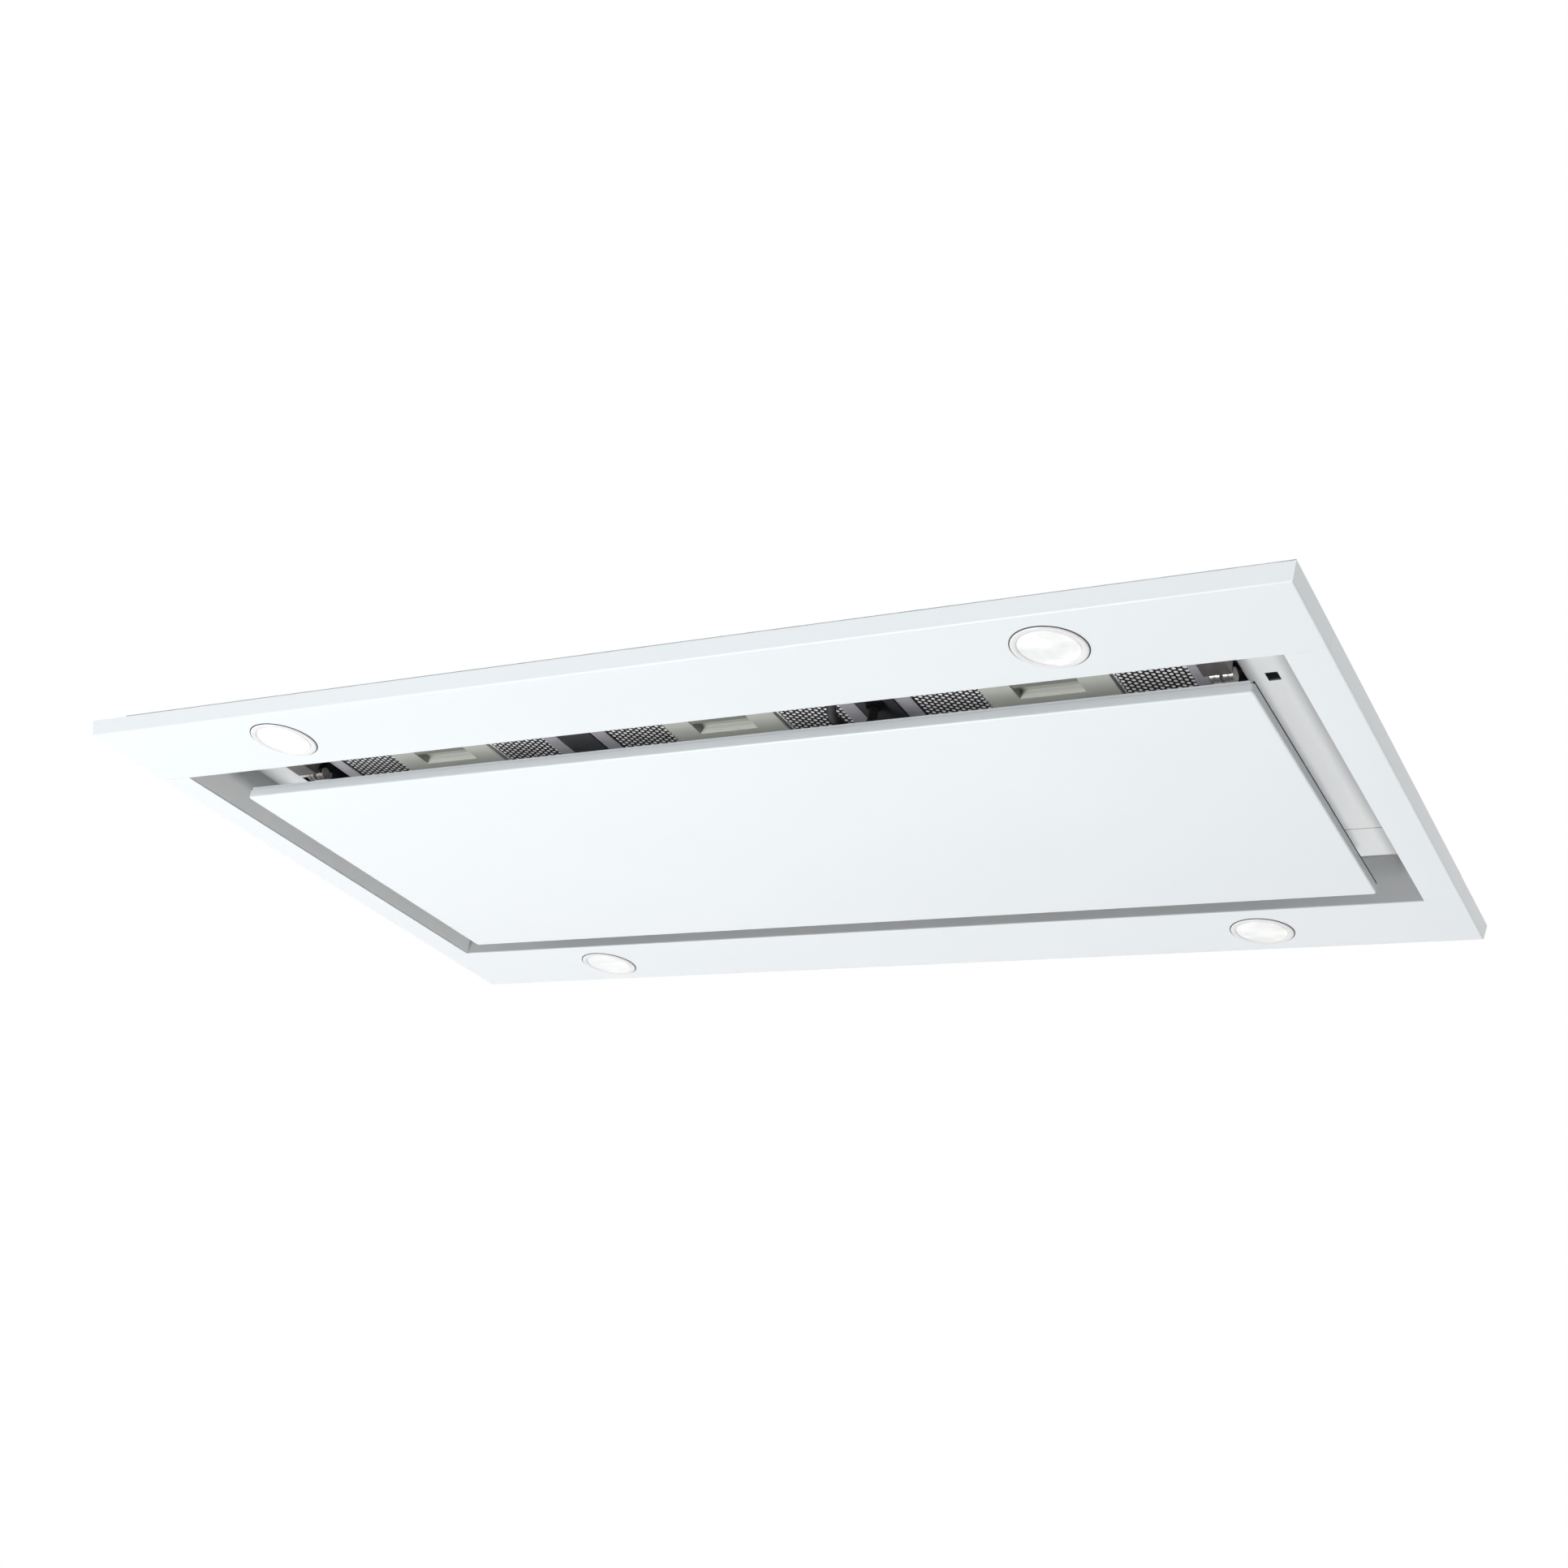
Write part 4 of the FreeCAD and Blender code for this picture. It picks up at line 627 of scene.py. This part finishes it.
def recess_sheets():
    """Recess walls with a 1 mm bend at the top, and the tray that starts where each bend ends.
    The near and far trays lap 12 mm over the hole's corners, and fine seams part the sheets."""
    bend = 1.0
    seam = 0.35
    lap = 12.0
    for node, sign in (("recess_front", -1), ("recess_rear", 1)):
        wall = [(across * sign, height) for across, height in bent_wall(OPEN_Y, bend)]
        bm = bmesh.new()
        add_fold(bm, wall, "x", (-OPEN_X, OPEN_X))
        show(f"{node}_wall", close_mesh(bm), "recess_steel", "housing", node)
        bm = bmesh.new()
        y = sorted((HOLE_Y * sign, (OPEN_Y - bend) * sign))
        add_block(bm, (-OPEN_X, y[0], TRAY_LOW), (OPEN_X, y[1], TRAY_HIGH))
        y = sorted(((HOLE_Y - lap) * sign, HOLE_Y * sign))
        for x in ((bend - OPEN_X, -HOLE_X), (HOLE_X, OPEN_X - bend)):
            add_block(bm, (x[0], y[0], TRAY_LOW), (x[1], y[1], TRAY_HIGH))
        show(f"{node}_tray", close_mesh(bm), "recess_steel", "housing", node)
    slot_x = (384.0, 392.0)
    slot_y = (-94.0, -84.0)
    for node, sign in (("recess_left", -1), ("recess_right", 1)):
        wall = [(across * sign, height) for across, height in bent_wall(OPEN_X, bend)]
        ends = (seam - HOLE_Y, HOLE_Y - seam)
        bm = bmesh.new()
        add_fold(bm, wall, "y", ends)
        for near, far in ((-OPEN_Y, ends[0]), (ends[1], OPEN_Y)):
            x = sorted((OPEN_X * sign, (OPEN_X + WALL_GAUGE) * sign))
            add_block(bm, (x[0], near, STRIP_BACK), (x[1], far, TRAY_HIGH))
        show(f"{node}_wall", close_mesh(bm), "recess_steel", "housing", node)
        bm = bmesh.new()
        ends = (lap + seam * 2 - HOLE_Y, HOLE_Y - lap - seam * 2)
        parts = ((HOLE_X, slot_x[0], *ends), (slot_x[1], OPEN_X - bend, *ends))
        parts += ((*slot_x, ends[0], slot_y[0]), (*slot_x, slot_y[1], ends[1]))
        for inside, outside, near, far in parts:
            x = sorted((inside * sign, outside * sign))
            add_block(bm, (x[0], near, TRAY_LOW), (x[1], far, TRAY_HIGH))
        show(f"{node}_tray", close_mesh(bm), "recess_steel", "housing", node)


# -------------------- body above the ceiling
def body_sheets():
    """Galvanised walls and top with eased edges."""
    for node in ("body_left", "body_right", "body_front", "body_rear", "body_top"):
        eased(node, "galvanised_sheet", "housing", 0.3)
    for node in ("box_cover", "box_front", "box_rear", "inlet_ring", "hanger_brackets"):
        eased(node, "galvanised_sheet", "housing", 0.3)
    eased("control_box", "black_moulding", "housing", 0.8)


# -------------------- suction panel
def panel_sheets():
    """Panel skin with soft corners and a soft fold round its face, a black strip along three of its
    edges that paints the dark shadow line there, the hem of the fourth, and the sheet that backs it."""
    low_x, high_x = -394.0, 394.0
    low_y, high_y = -140.0, 154.0
    face, top, gauge = -14.0, -7.2, 0.9
    corner_radius, fold_radius = 2.4, 1.5
    bm = bmesh.new()
    add_block(bm, (low_x, low_y, face), (high_x, high_y, top))
    uprights = [edge for edge in bm.edges if abs(edge.verts[0].co.z - edge.verts[1].co.z) > MM]
    soft = {"profile": 0.5, "affect": "EDGES"}
    bmesh.ops.bevel(bm, geom=uprights, offset=corner_radius * MM, segments=5, **soft)
    level = face * MM + 1e-5
    around = [edge for edge in bm.edges if all(corner.co.z < level for corner in edge.verts)]
    bmesh.ops.bevel(bm, geom=around, offset=fold_radius * MM, segments=4, **soft)
    level = (top - 0.01) * MM
    lid = [side for side in bm.faces if all(corner.co.z > level for corner in side.verts)]
    bmesh.ops.inset_region(bm, faces=lid, thickness=gauge * MM, use_even_offset=True)
    for corner in lid[0].verts:
        corner.co.z = (face + gauge) * MM
    skin = show("panel_skin_bent", close_mesh(bm), "white_lacquer", "panel", "panel_skin")
    rounding(skin, 0.2)
    # Painted shade: a thin black strip on the side and far flanges draws the dark shadow line between
    # panel and recess.
    strip_and_hem_top, shadow_strip_width, setback = -5.5, 1.2, 0.3
    side = (low_y + shadow_strip_width, high_y - shadow_strip_width)
    ends = (low_x + corner_radius, high_x - corner_radius)
    bm = bmesh.new()
    add_block(bm, (low_x + setback, side[0], top), (low_x + shadow_strip_width, side[1], strip_and_hem_top))
    add_block(bm, (high_x - shadow_strip_width, side[0], top), (high_x - setback, side[1], strip_and_hem_top))
    add_block(bm, (ends[0], side[1], top), (ends[1], high_y - setback, strip_and_hem_top))
    show("panel_edge_seal", close_mesh(bm), "black_rubber", "panel")
    bm = bmesh.new()
    add_block(bm, (ends[0], low_y, top), (ends[1], low_y + gauge, strip_and_hem_top))
    show("panel_near_hem", close_mesh(bm), "white_lacquer", "panel")
    eased("panel_back", "galvanised_sheet", "panel", 0.3)


def panel_hinges():
    """Hinge arms, forked brackets and pins with eased edges."""
    eased("hinge_arm_left", "galvanised_sheet", "panel", 0.4)
    eased("hinge_arm_right", "galvanised_sheet", "panel", 0.4)
    eased("hinge_brackets", "galvanised_sheet", "housing", 0.4)
    pin_x, pin_y, pin_z = 330, 144, 3
    pin = [(0, -9), (2.4, -9), (3, -8.4), (3, 8.4), (2.4, 9), (0, 9)]
    bm = bmesh.new()
    for sign in (-1, 1):
        add_turned(bm, pin, (pin_x * sign, pin_y, pin_z), "x", 32)
    show("hinge_pins_turned", close_mesh(bm), "polished_steel", "housing", "hinge_pins")


# -------------------- filters
def filter_frames():
    """Folded filter frames, latches and sliders with moulded edges."""
    for number in (1, 2, 3):
        body = f"filter_{number}"
        eased(f"{body}_frame", "filter_aluminium", body, 0.35)
        eased(f"{body}_latch", "grey_moulding", body, 0.5, 3)
        slide = f"slider_{number}"
        eased(f"{body}_slider", "grey_moulding", slide, 0.35, material=SHADED_SLIDE_PLASTIC)


def filter_meshes():
    """Expanded metal on each filter over the bright foil behind it. Its 2.7 mm by 3.2 mm cells are
    drawn 1.35 times as large, because at their real size they are under three pixels wide."""
    tree = expanded_metal()
    drawn = 1.35
    column_step = 2.7 * drawn
    row_step = 3.2 * drawn
    width = 197.4
    depth = 261.4
    cell_level = 28.4
    foil_level = 28.8
    columns = int(width // column_step)
    rows = int(depth // row_step)
    values = {
        "Columns": columns,
        "Rows": rows,
        "Field Width": (columns - 1) * column_step * MM,
        "Field Depth": (rows - 1) * row_step * MM,
        "Column Step": column_step * MM,
        "Row Step": row_step * MM,
        "Hole Share": 0.66,
        "Strand Depth": 0.3 * MM,
        "Level": cell_level * MM,
        "Notch Half Width": 47.0 * MM,
        "Notch End": (51.6 - depth / 2) * MM,
        "Look": LOOKS["filter_mesh"],
    }
    for number, middle in zip((1, 2, 3), FILTER_CENTRES):
        body = f"filter_{number}"
        node = f"filter_{number}_mesh"
        face = grow(tree, bpy.data.meshes.new("empty"), values)
        face.transform(Matrix.Translation((middle * MM, 0, 0)))
        show(f"{node}_cells", face, "filter_mesh", body, node)
        bm = cad_shape(node)
        for corner in bm.verts:
            corner.co.z = max(corner.co.z, foil_level * MM)
        show(f"{node}_foil", as_mesh(bm), "filter_mesh", body, node, material=FOIL)


def dividers():
    """Flat dark strips between the filters."""
    for node in ("divider_left", "divider_right"):
        eased(node, "dark_sheet", "housing", 0.25)


# -------------------- catches and lamps
def catch_rollers():
    """Grooved rollers on their sprung stems, with turned edges that catch the light."""
    axis_y, axis_z = CATCH_AXIS
    for side, sign in (("left", -1), ("right", 1)):
        bm = bmesh.new()
        half = [(0, 8), (3.9, 8), (4.5, 7.4), (4.5, 5.2), (4.0, 4.9), (4.0, 4.3), (4.5, 4.0)]
        half += [(4.5, 1.1), (3.1, 0.9)]
        outline = half + [(radius, -reach) for radius, reach in reversed(half)]
        add_turned(bm, outline, (CATCH_X * sign, axis_y, axis_z), "x", 40)
        stem = [(0, -134), (2.1, -134), (2.5, -133.6), (2.5, axis_y), (0, axis_y)]
        add_turned(bm, stem, (CATCH_X * sign, 0, axis_z), "y", 28)
        node = f"catch_plunger_{side}"
        mesh = close_mesh(bm)
        body = f"catch_roller_{side}"
        show(f"{node}_turned", mesh, "polished_steel", body, node, material=ROLLER_STEEL)
    eased("catch_blocks", "catch_steel", "housing", 0.7, 3)
    eased("strikers", "galvanised_sheet", "panel", 0.25)


def lamps():
    """Pressed bezels with rolled rims, frosted lenses with a shallow dome, and their cans."""
    rims = bmesh.new()
    shadow_rings = bmesh.new()
    lenses = bmesh.new()
    for x, y in LAMP_PLACES:
        rolled = arc((22.3, -12.1), 1.1, 0, -90, 5)
        dished = [(20.6, -13.2), (19.7, -12.95), (19.4, -12.6), (19.4, -12.0), (20.0, -12.0)]
        rim = rolled + dished + [(20.0, -4.0), (21.3, -4.0), (21.3, -12.0)]
        add_turned(rims, rim, (x, y, 0), "z", 72, ring=True)
        # Partly painted shade: a black rubber ring under each bezel stands 0.6 mm past its rim and
        # draws the dark shadow line round the lamp.
        shadow_ring = [(21.4, -12.02), (24.0, -12.02), (24.0, -12.3), (21.4, -12.3)]
        add_turned(shadow_rings, shadow_ring, (x, y, 0), "z", 72, ring=True)
        dome = [(0, -13.0), (9, -12.98), (15, -12.9), (16.2, -12.75), (16.8, -12.75), (17.6, -12.9)]
        edge = [(18.5, -12.9), (18.9, -12.6), (18.9, -12.0), (19.8, -12.0), (19.8, -10.8)]
        add_turned(lenses, dome + edge + [(0, -10.8)], (x, y, 0), "z", 64)
    rims = close_mesh(rims, 40)
    lenses = close_mesh(lenses, 30)
    show("lamp_bezels_rolled", rims, "lamp_rim", "housing", "lamp_bezels")
    show("lamp_gaskets", close_mesh(shadow_rings), "black_rubber", "housing")
    show("lamp_lenses_frosted", lenses, "lamp_lens", "housing", "lamp_lenses")
    eased("lamp_cans", "galvanised_sheet", "housing", 0.4)


# -------------------- small parts on the body
def screw_head():
    """A pan head of radius 3.4 mm with a cross recess 1.1 mm deep."""
    bm = bmesh.new()
    steps = 24
    rows = []
    last = 360 - 360 / steps
    for radius, height in ((3.4, 0.0), (3.4, 0.5), (3.15, 1.1), (2.7, 1.5), (2.2, 1.75)):
        around = arc((0, 0), radius, 0, last, steps - 1)
        rows.append([bm.verts.new(Vector((x, y, height)) * MM) for x, y in around])
    join_rows(bm, rows)
    arm, half = 1.75, 0.38
    cross = [(arm, -half), (arm, half), (half, half), (half, arm), (-half, arm), (-half, half)]
    cross += [(-arm, half), (-arm, -half), (-half, -half), (-half, -arm), (half, -arm)]
    cross += [(half, -half)]
    crown, pit_level, taper = 1.75, 0.65, 0.8
    lip = [bm.verts.new((x * MM, y * MM, crown * MM)) for x, y in cross]
    pit = [bm.verts.new((x * taper * MM, y * taper * MM, pit_level * MM)) for x, y in cross]
    edges = [bm.edges.new((lip[index], lip[(index + 1) % 12])) for index in range(12)]
    edges += [bm.edges.get((rows[-1][step], rows[-1][(step + 1) % steps])) for step in range(steps)]
    bmesh.ops.triangle_fill(bm, edges=edges, use_beauty=True)
    join_rows(bm, (lip, pit))
    bm.faces.new(pit)
    return close_mesh(bm)


def body_screws():
    """Every screw on top of the body, copied from one head to the CAD's places."""
    places = []
    bm = cad_shape("body_screws")
    waiting = set(bm.verts)
    while waiting:
        linked = [waiting.pop()]
        for corner in linked:
            for edge in corner.link_edges:
                other = edge.other_vert(corner)
                if other in waiting:
                    waiting.discard(other)
                    linked.append(other)
        xs = [corner.co.x for corner in linked]
        ys = [corner.co.y for corner in linked]
        level = min(corner.co.z for corner in linked)
        places.append(((min(xs) + max(xs)) / 2, (min(ys) + max(ys)) / 2, level))
    bm.free()
    points = bpy.data.meshes.new("screw_places")
    points.from_pydata(sorted(places), [], [])
    master = put("screw_master", screw_head())
    tree = copies_at_points()
    values = {"Master": master, "Size": 1.0, "Look": LOOKS["zinc_screw"]}
    heads = grow(tree, points, values)
    show("body_screws_crossed", heads, "zinc_screw", "housing", "body_screws")
    lid_top = 146 * MM
    lid = [(x * MM, y * MM, lid_top) for x in (-392, -233) for y in (-102, 52)]
    points = bpy.data.meshes.new("lid_screw_places")
    points.from_pydata(lid, [], [])
    values["Size"] = 0.85
    show("lid_screws_crossed", grow(tree, points, values), "zinc_screw", "housing")
    bpy.data.objects.remove(master)


def lead_glands():
    """Ribbed rubber glands that hold the two ends of the lead."""
    bm = bmesh.new()
    for x, y, level in ((119.5, -156.5, 26.0), (122.0, -108.5, 27.0)):
        low = level - 4
        ribs = [(3.35, low + 0.3), (3.7, low), (5.2, low), (5.6, low + 0.4), (5.6, low + 0.9)]
        ribs += [(5.3, low + 1.1), (5.3, low + 1.5), (5.8, low + 1.7), (5.8, low + 2.2)]
        ribs += [(5.5, low + 2.4), (5.5, low + 2.7), (6.5, low + 3.0), (6.5, level), (3.35, level)]
        add_turned(bm, ribs, (x, y, 0), "z", 36, ring=True)
    show("lead_glands_ribbed", close_mesh(bm), "black_rubber", "housing", "lead_glands")


def duct_collar():
    """Moulded collar with a groove for the duct clamp and a rounded mouth."""
    duct_x, duct_z, bore = 47, 179.1, 73.0
    sleeve = [(bore, 171), (bore, 230.4), (bore + 0.5, 231), (bore + 1.1, 230.7), (74.5, 229.5)]
    groove = [(74.5, 222), (74.0, 221), (73.8, 218.5), (74.0, 216), (74.5, 215), (74.5, 173.4)]
    flange = [(74.9, 172.8), (76.6, 172.5), (77, 172.1), (77, 171)]
    bm = bmesh.new()
    add_turned(bm, sleeve + groove + flange, (duct_x, 0, duct_z), "y", 96, ring=True)
    collar = close_mesh(bm)
    show("outlet_collar_moulded", collar, "black_moulding", "housing", "outlet_collar")


def add_swage(bm, centre, along, out, length, width, height):
    """A long pressed bead with sloping sides and round ends, standing on a sheet."""
    along = Vector(along)
    out = Vector(out)
    aside = along.cross(out)
    rows = []
    for rise, inset in ((0.0, 0.0), (0.35, 0.7), (0.85, 2.0), (1.0, 3.2)):
        radius = width / 2 - inset
        level = Vector(centre) + out * height * rise
        row = []
        for end in (1, -1):
            for reach, across in arc((end * (length - width) / 2, 0), radius * end, -90, 90, 8):
                row.append(bm.verts.new((level + along * reach + aside * across) * MM))
        rows.append(row)
    join_rows(bm, rows)
    bm.faces.new(rows[-1])
    bm.faces.new(rows[0])


def sheet_swages():
    """Beads pressed in the large sheets, which keep them from drumming."""
    top, wall, box_side, box_near, box_middle = 101, 237, 185, -150, 185
    broad, narrow = (16, 1.6), (14, 1.4)
    bm = bmesh.new()
    for x in (245, 290, 335):
        add_swage(bm, (x, 0, top), (0, 1, 0), (0, 0, 1), 330, *broad)
    for y in (95, 130, 165):
        add_swage(bm, (-315, y, top), (1, 0, 0), (0, 0, 1), 170, *broad)
    for sign in (-1, 1):
        for y in (-85, 20, 125):
            add_swage(bm, (box_side * sign, y, box_middle), (0, 0, 1), (sign, 0, 0), 110, *broad)
        for x in (-300, 0, 300):
            if sign < 0 or x:
                add_swage(bm, (x, wall * sign, 45), (1, 0, 0), (0, sign, 0), 200, *narrow)
    for x in (-95, 95):
        add_swage(bm, (x, box_near, box_middle), (0, 0, 1), (0, -1, 0), 110, *broad)
    show("sheet_swages", close_mesh(bm, 50), "galvanised_sheet", "housing")


def control_box_fittings():
    """Lid rim, cord gland with its nut, and vents of the control box."""
    left, right, near, far = -400.0, -225.0, -110.0, 60.0
    rim, rim_low, rim_high = 0.7, 134.0, 136.5
    bm = bmesh.new()
    for y in (near - rim, far):
        add_block(bm, (left - rim, y, rim_low), (right + rim, y + rim, rim_high))
    for x in (left - rim, right):
        add_block(bm, (x, near, rim_low), (x + rim, far, rim_high))
    slat_pitch, slat_width, slat_depth = 6.0, 2.5, 1.2
    for index in range(9):
        y = -8 + index * slat_pitch
        add_block(bm, (right, y, 112), (right + slat_depth, y + slat_width, 128))
    gland = [(0, -400), (9.0, -400), (9.0, -402.5), (6.2, -402.5), (6.2, -410), (5.4, -412)]
    gland += [(4.2, -412.5), (0, -412)]
    nut = [(0, -402.6), (8.2, -402.6), (8.6, -403.2), (8.6, -407.4), (8.2, -408), (0, -408)]
    add_turned(bm, gland, (0, -25, 123), "x", 32)
    add_turned(bm, nut, (0, -25, 123), "x", 6)
    fittings = show("control_box_fittings", close_mesh(bm), "black_moulding", "housing")
    rounding(fittings, 0.25)


def fan_wheel():
    """Moulded wheel: forward-curved blades in a ring, between two rims, on a dished hub."""
    inner, outer, low, high = 81.0, 95.0, 109.0, 200.0
    axle_y = -15.0
    blades, blade_gauge, curve = 40, 0.9, 0.14
    bm = bmesh.new()
    for index in range(blades):
        start = math.tau * index / blades
        rows = []
        for level in (low + 1, high - 1):
            row = []
            for side in (-0.5, 0.5):
                steps = range(7) if side < 0 else range(6, -1, -1)
                for step in steps:
                    share = step / 6
                    radius = inner + 0.4 + (outer - inner - 0.8) * share
                    turn = start + curve * share * share + side * blade_gauge / radius
                    place = Vector((radius * math.cos(turn), radius * math.sin(turn), level))
                    row.append(bm.verts.new(place * MM))
            rows.append(row)
        bm.faces.new(rows[0])
        bm.faces.new(rows[1])
        join_rows(bm, rows)
    for level in (low, high - 1.5):
        rim = [(inner, level + 0.3), (inner + 0.3, level), (outer - 0.3, level), (outer, level + 0.3)]
        rim += [(outer, level + 1.2), (outer - 0.3, level + 1.5), (inner + 0.3, level + 1.5)]
        rim += [(inner, level + 1.2)]
        add_turned(bm, rim, (0, 0, 0), "z", 96, ring=True)
    plate = [(5.05, 142.3), (5.3, 142), (11.5, 142), (12, 142.5), (12, 153), (14, 154), (95, 154)]
    plate += [(95, 155.5), (5.3, 155.5), (5.05, 155.2)]
    add_turned(bm, plate, (0, 0, 0), "z", 72, ring=True)
    bmesh.ops.translate(bm, verts=bm.verts, vec=(0, axle_y * MM, 0))
    show("fan_wheel_moulded", close_mesh(bm), "black_moulding", "wheel", "fan_wheel")


# -------------------- camera, light and room
def photo_camera():
    """Camera of the photograph: below, near and to the right of the hood, looking up at it. Its
    picture, focal length and centre of view are in pixels of the photograph."""
    picture, focal_length, centre_x, centre_y = 1932, 2568.19, 1063, 1159
    data = bpy.data.cameras.new("photo_camera")
    data.sensor_fit = "HORIZONTAL"
    data.sensor_width = 36.0
    data.lens = data.sensor_width * focal_length / picture
    data.shift_x = (picture / 2 - centre_x) / picture
    data.shift_y = (centre_y - picture / 2) / picture
    data.clip_end = 100.0
    camera = put("photo_camera", data)
    right = Vector((0.8840783, 0.4455225, 0.1411214))
    up = Vector((0.0462029, -0.3838120, 0.9222547))
    back = Vector((0.4650493, -0.8088251, -0.3599043))
    turn = Matrix((right, up, back)).transposed().to_4x4()
    camera.matrix_world = Matrix.Translation((0.75248, -1.17298, -0.61920)) @ turn
    bpy.context.scene.camera = camera


def soft_lamp(name, place, target, size, power, only=(), colour="#ffffff"):
    """A square studio lamp aimed at a point. It lights everything, or only some pieces: the deep
    recess has lamps of its own, because the gap lets in too little light to show it."""
    data = bpy.data.lights.new(name, "AREA")
    data.shape = "SQUARE"
    data.size = size
    data.energy = power
    data.color = srgb(colour)[:3]
    lamp = put(name, data)
    aim = Vector(target) - Vector(place)
    lamp.matrix_world = Matrix.Translation(place) @ aim.to_track_quat("-Z", "Y").to_matrix().to_4x4()
    lamp.visible_camera = False
    if only:
        lit = bpy.data.collections.new(f"{name}_lights_these")
        for thing in bpy.data.objects:
            if thing.name.startswith(only):
                lit.objects.link(thing)
        lamp.light_linking.receiver_collection = lit


def studio():
    """Plain soft light at a plain level, with a world that is white where it is seen."""
    filters = ("filter_", "divider_", "catch_", "strikers")
    near_trays = ("recess_front", "recess_left_tray")
    trays = ("recess_left_tray", "recess_right_tray", "recess_rear_tray")
    below_near = ((-0.6, -2.1, -1.3), (0, -0.1, 0), 1.0)
    below_right = (1.15, -0.1, -1.3)
    soft_lamp("key", (-0.8, -1.2, -2.2), (0, 0, 0), 1.4, 62.0, colour="#fbfdff")
    soft_lamp("gap_near", *below_near, 140.0, filters)
    soft_lamp("gap_trays", *below_near, 80.0, near_trays)
    soft_lamp("gap_right", below_right, (0.39, 0, 0), 0.4, 31.0, trays)
    soft_lamp("gap_left", below_right, (-0.39, 0, 0), 0.4, 22.0, ("recess_left_wall",))
    soft_lamp("top", (0.8, -1.2, 2.2), (0, 0, 0.1), 2.0, 30.0)
    world = bpy.data.worlds.new("studio")
    bpy.context.scene.world = world
    world.use_nodes = True
    tree = world.node_tree
    tree.nodes.clear()
    level = add(tree, "ShaderNodeMapRange", {"Value": seen_share(tree), "To Min": 0.5, "To Max": 1.0})
    white = {"Color": srgb("#ffffff"), "Strength": level.outputs["Result"]}
    sky = add(tree, "ShaderNodeBackground", white)
    add(tree, "ShaderNodeOutputWorld", {"Surface": sky.outputs["Background"]})


def seen_share(tree):
    """Gives 1 to the rays that show the background, straight or in metal and glass, and 0 to others."""
    path = add(tree, "ShaderNodeLightPath").outputs
    seen = {0: path["Is Camera Ray"], 1: path["Is Glossy Ray"]}
    seen = add(tree, "ShaderNodeMath", seen, operation="MAXIMUM")
    seen = {0: seen.outputs[0], 1: path["Is Transmission Ray"]}
    return add(tree, "ShaderNodeMath", seen, operation="MAXIMUM").outputs[0]


def set_stage(name, rings, level, material):
    """Puts a flat backdrop in the scene: a square of a half size, or the ring between two."""
    bm = bmesh.new()
    rows = []
    for half_x, half_y in rings:
        signs = ((-1, -1), (-1, 1), (1, 1), (1, -1))
        rows.append([bm.verts.new((x * half_x, y * half_y, level)) for x, y in signs])
    if len(rows) == 1:
        bm.faces.new(reversed(rows[0]))
    join_rows(bm, rows)
    mesh = as_mesh(bm)
    mesh.materials.append(material)
    put(name, mesh)


def ceiling():
    """White ceiling, open where the frame covers it. It shows only from below and lets light by."""
    material = bpy.data.materials.new("ceiling_paint")
    material.use_nodes = True
    tree = material.node_tree
    tree.nodes.clear()
    side = add(tree, "ShaderNodeNewGeometry").outputs["Backfacing"]
    below = add(tree, "ShaderNodeMath", {0: 1.0, 1: side}, operation="SUBTRACT")
    shown = {0: seen_share(tree), 1: below.outputs[0]}
    shown = add(tree, "ShaderNodeMath", shown, operation="MULTIPLY")
    clear = add(tree, "ShaderNodeBsdfTransparent")
    paint = add(tree, "ShaderNodeEmission", {"Color": srgb("#ffffff"), "Strength": 1.0})
    layers = {0: shown.outputs[0], 1: clear.outputs[0], 2: paint.outputs[0]}
    blend = add(tree, "ShaderNodeMixShader", layers)
    add(tree, "ShaderNodeOutputMaterial", {"Surface": blend.outputs[0]})
    edge, hole_x, hole_y, level = 40.0, 0.4496, 0.2496, 0.0008
    set_stage("ceiling", ((edge, edge), (hole_x, hole_y)), level, material)


def floor():
    """Pale floor below the hood, nearly white to the eye, which keeps the hood's soft shadow."""
    material, tree, _ = start_material("pale_floor", "#f1f1ef")
    glow = add(tree, "ShaderNodeMath", {0: seen_share(tree), 1: 0.62}, operation="MULTIPLY")
    finish = {"Base Color": srgb("#f1f1ef"), "Roughness": 0.8}
    finish.update({"Emission Color": srgb("#ffffff"), "Emission Strength": glow.outputs[0]})
    set_stage("floor", ((40.0, 40.0),), -2.3, end_material(material, finish))


finish_cad_nodes()
frame_strips()
recess_sheets()
body_sheets()
panel_sheets()
panel_hinges()
filter_frames()
filter_meshes()
dividers()
catch_rollers()
lamps()
body_screws()
lead_glands()
duct_collar()
sheet_swages()
control_box_fittings()
fan_wheel()
photo_camera()
studio()
ceiling()
floor()
bpy.context.scene.view_settings.view_transform = "Standard"
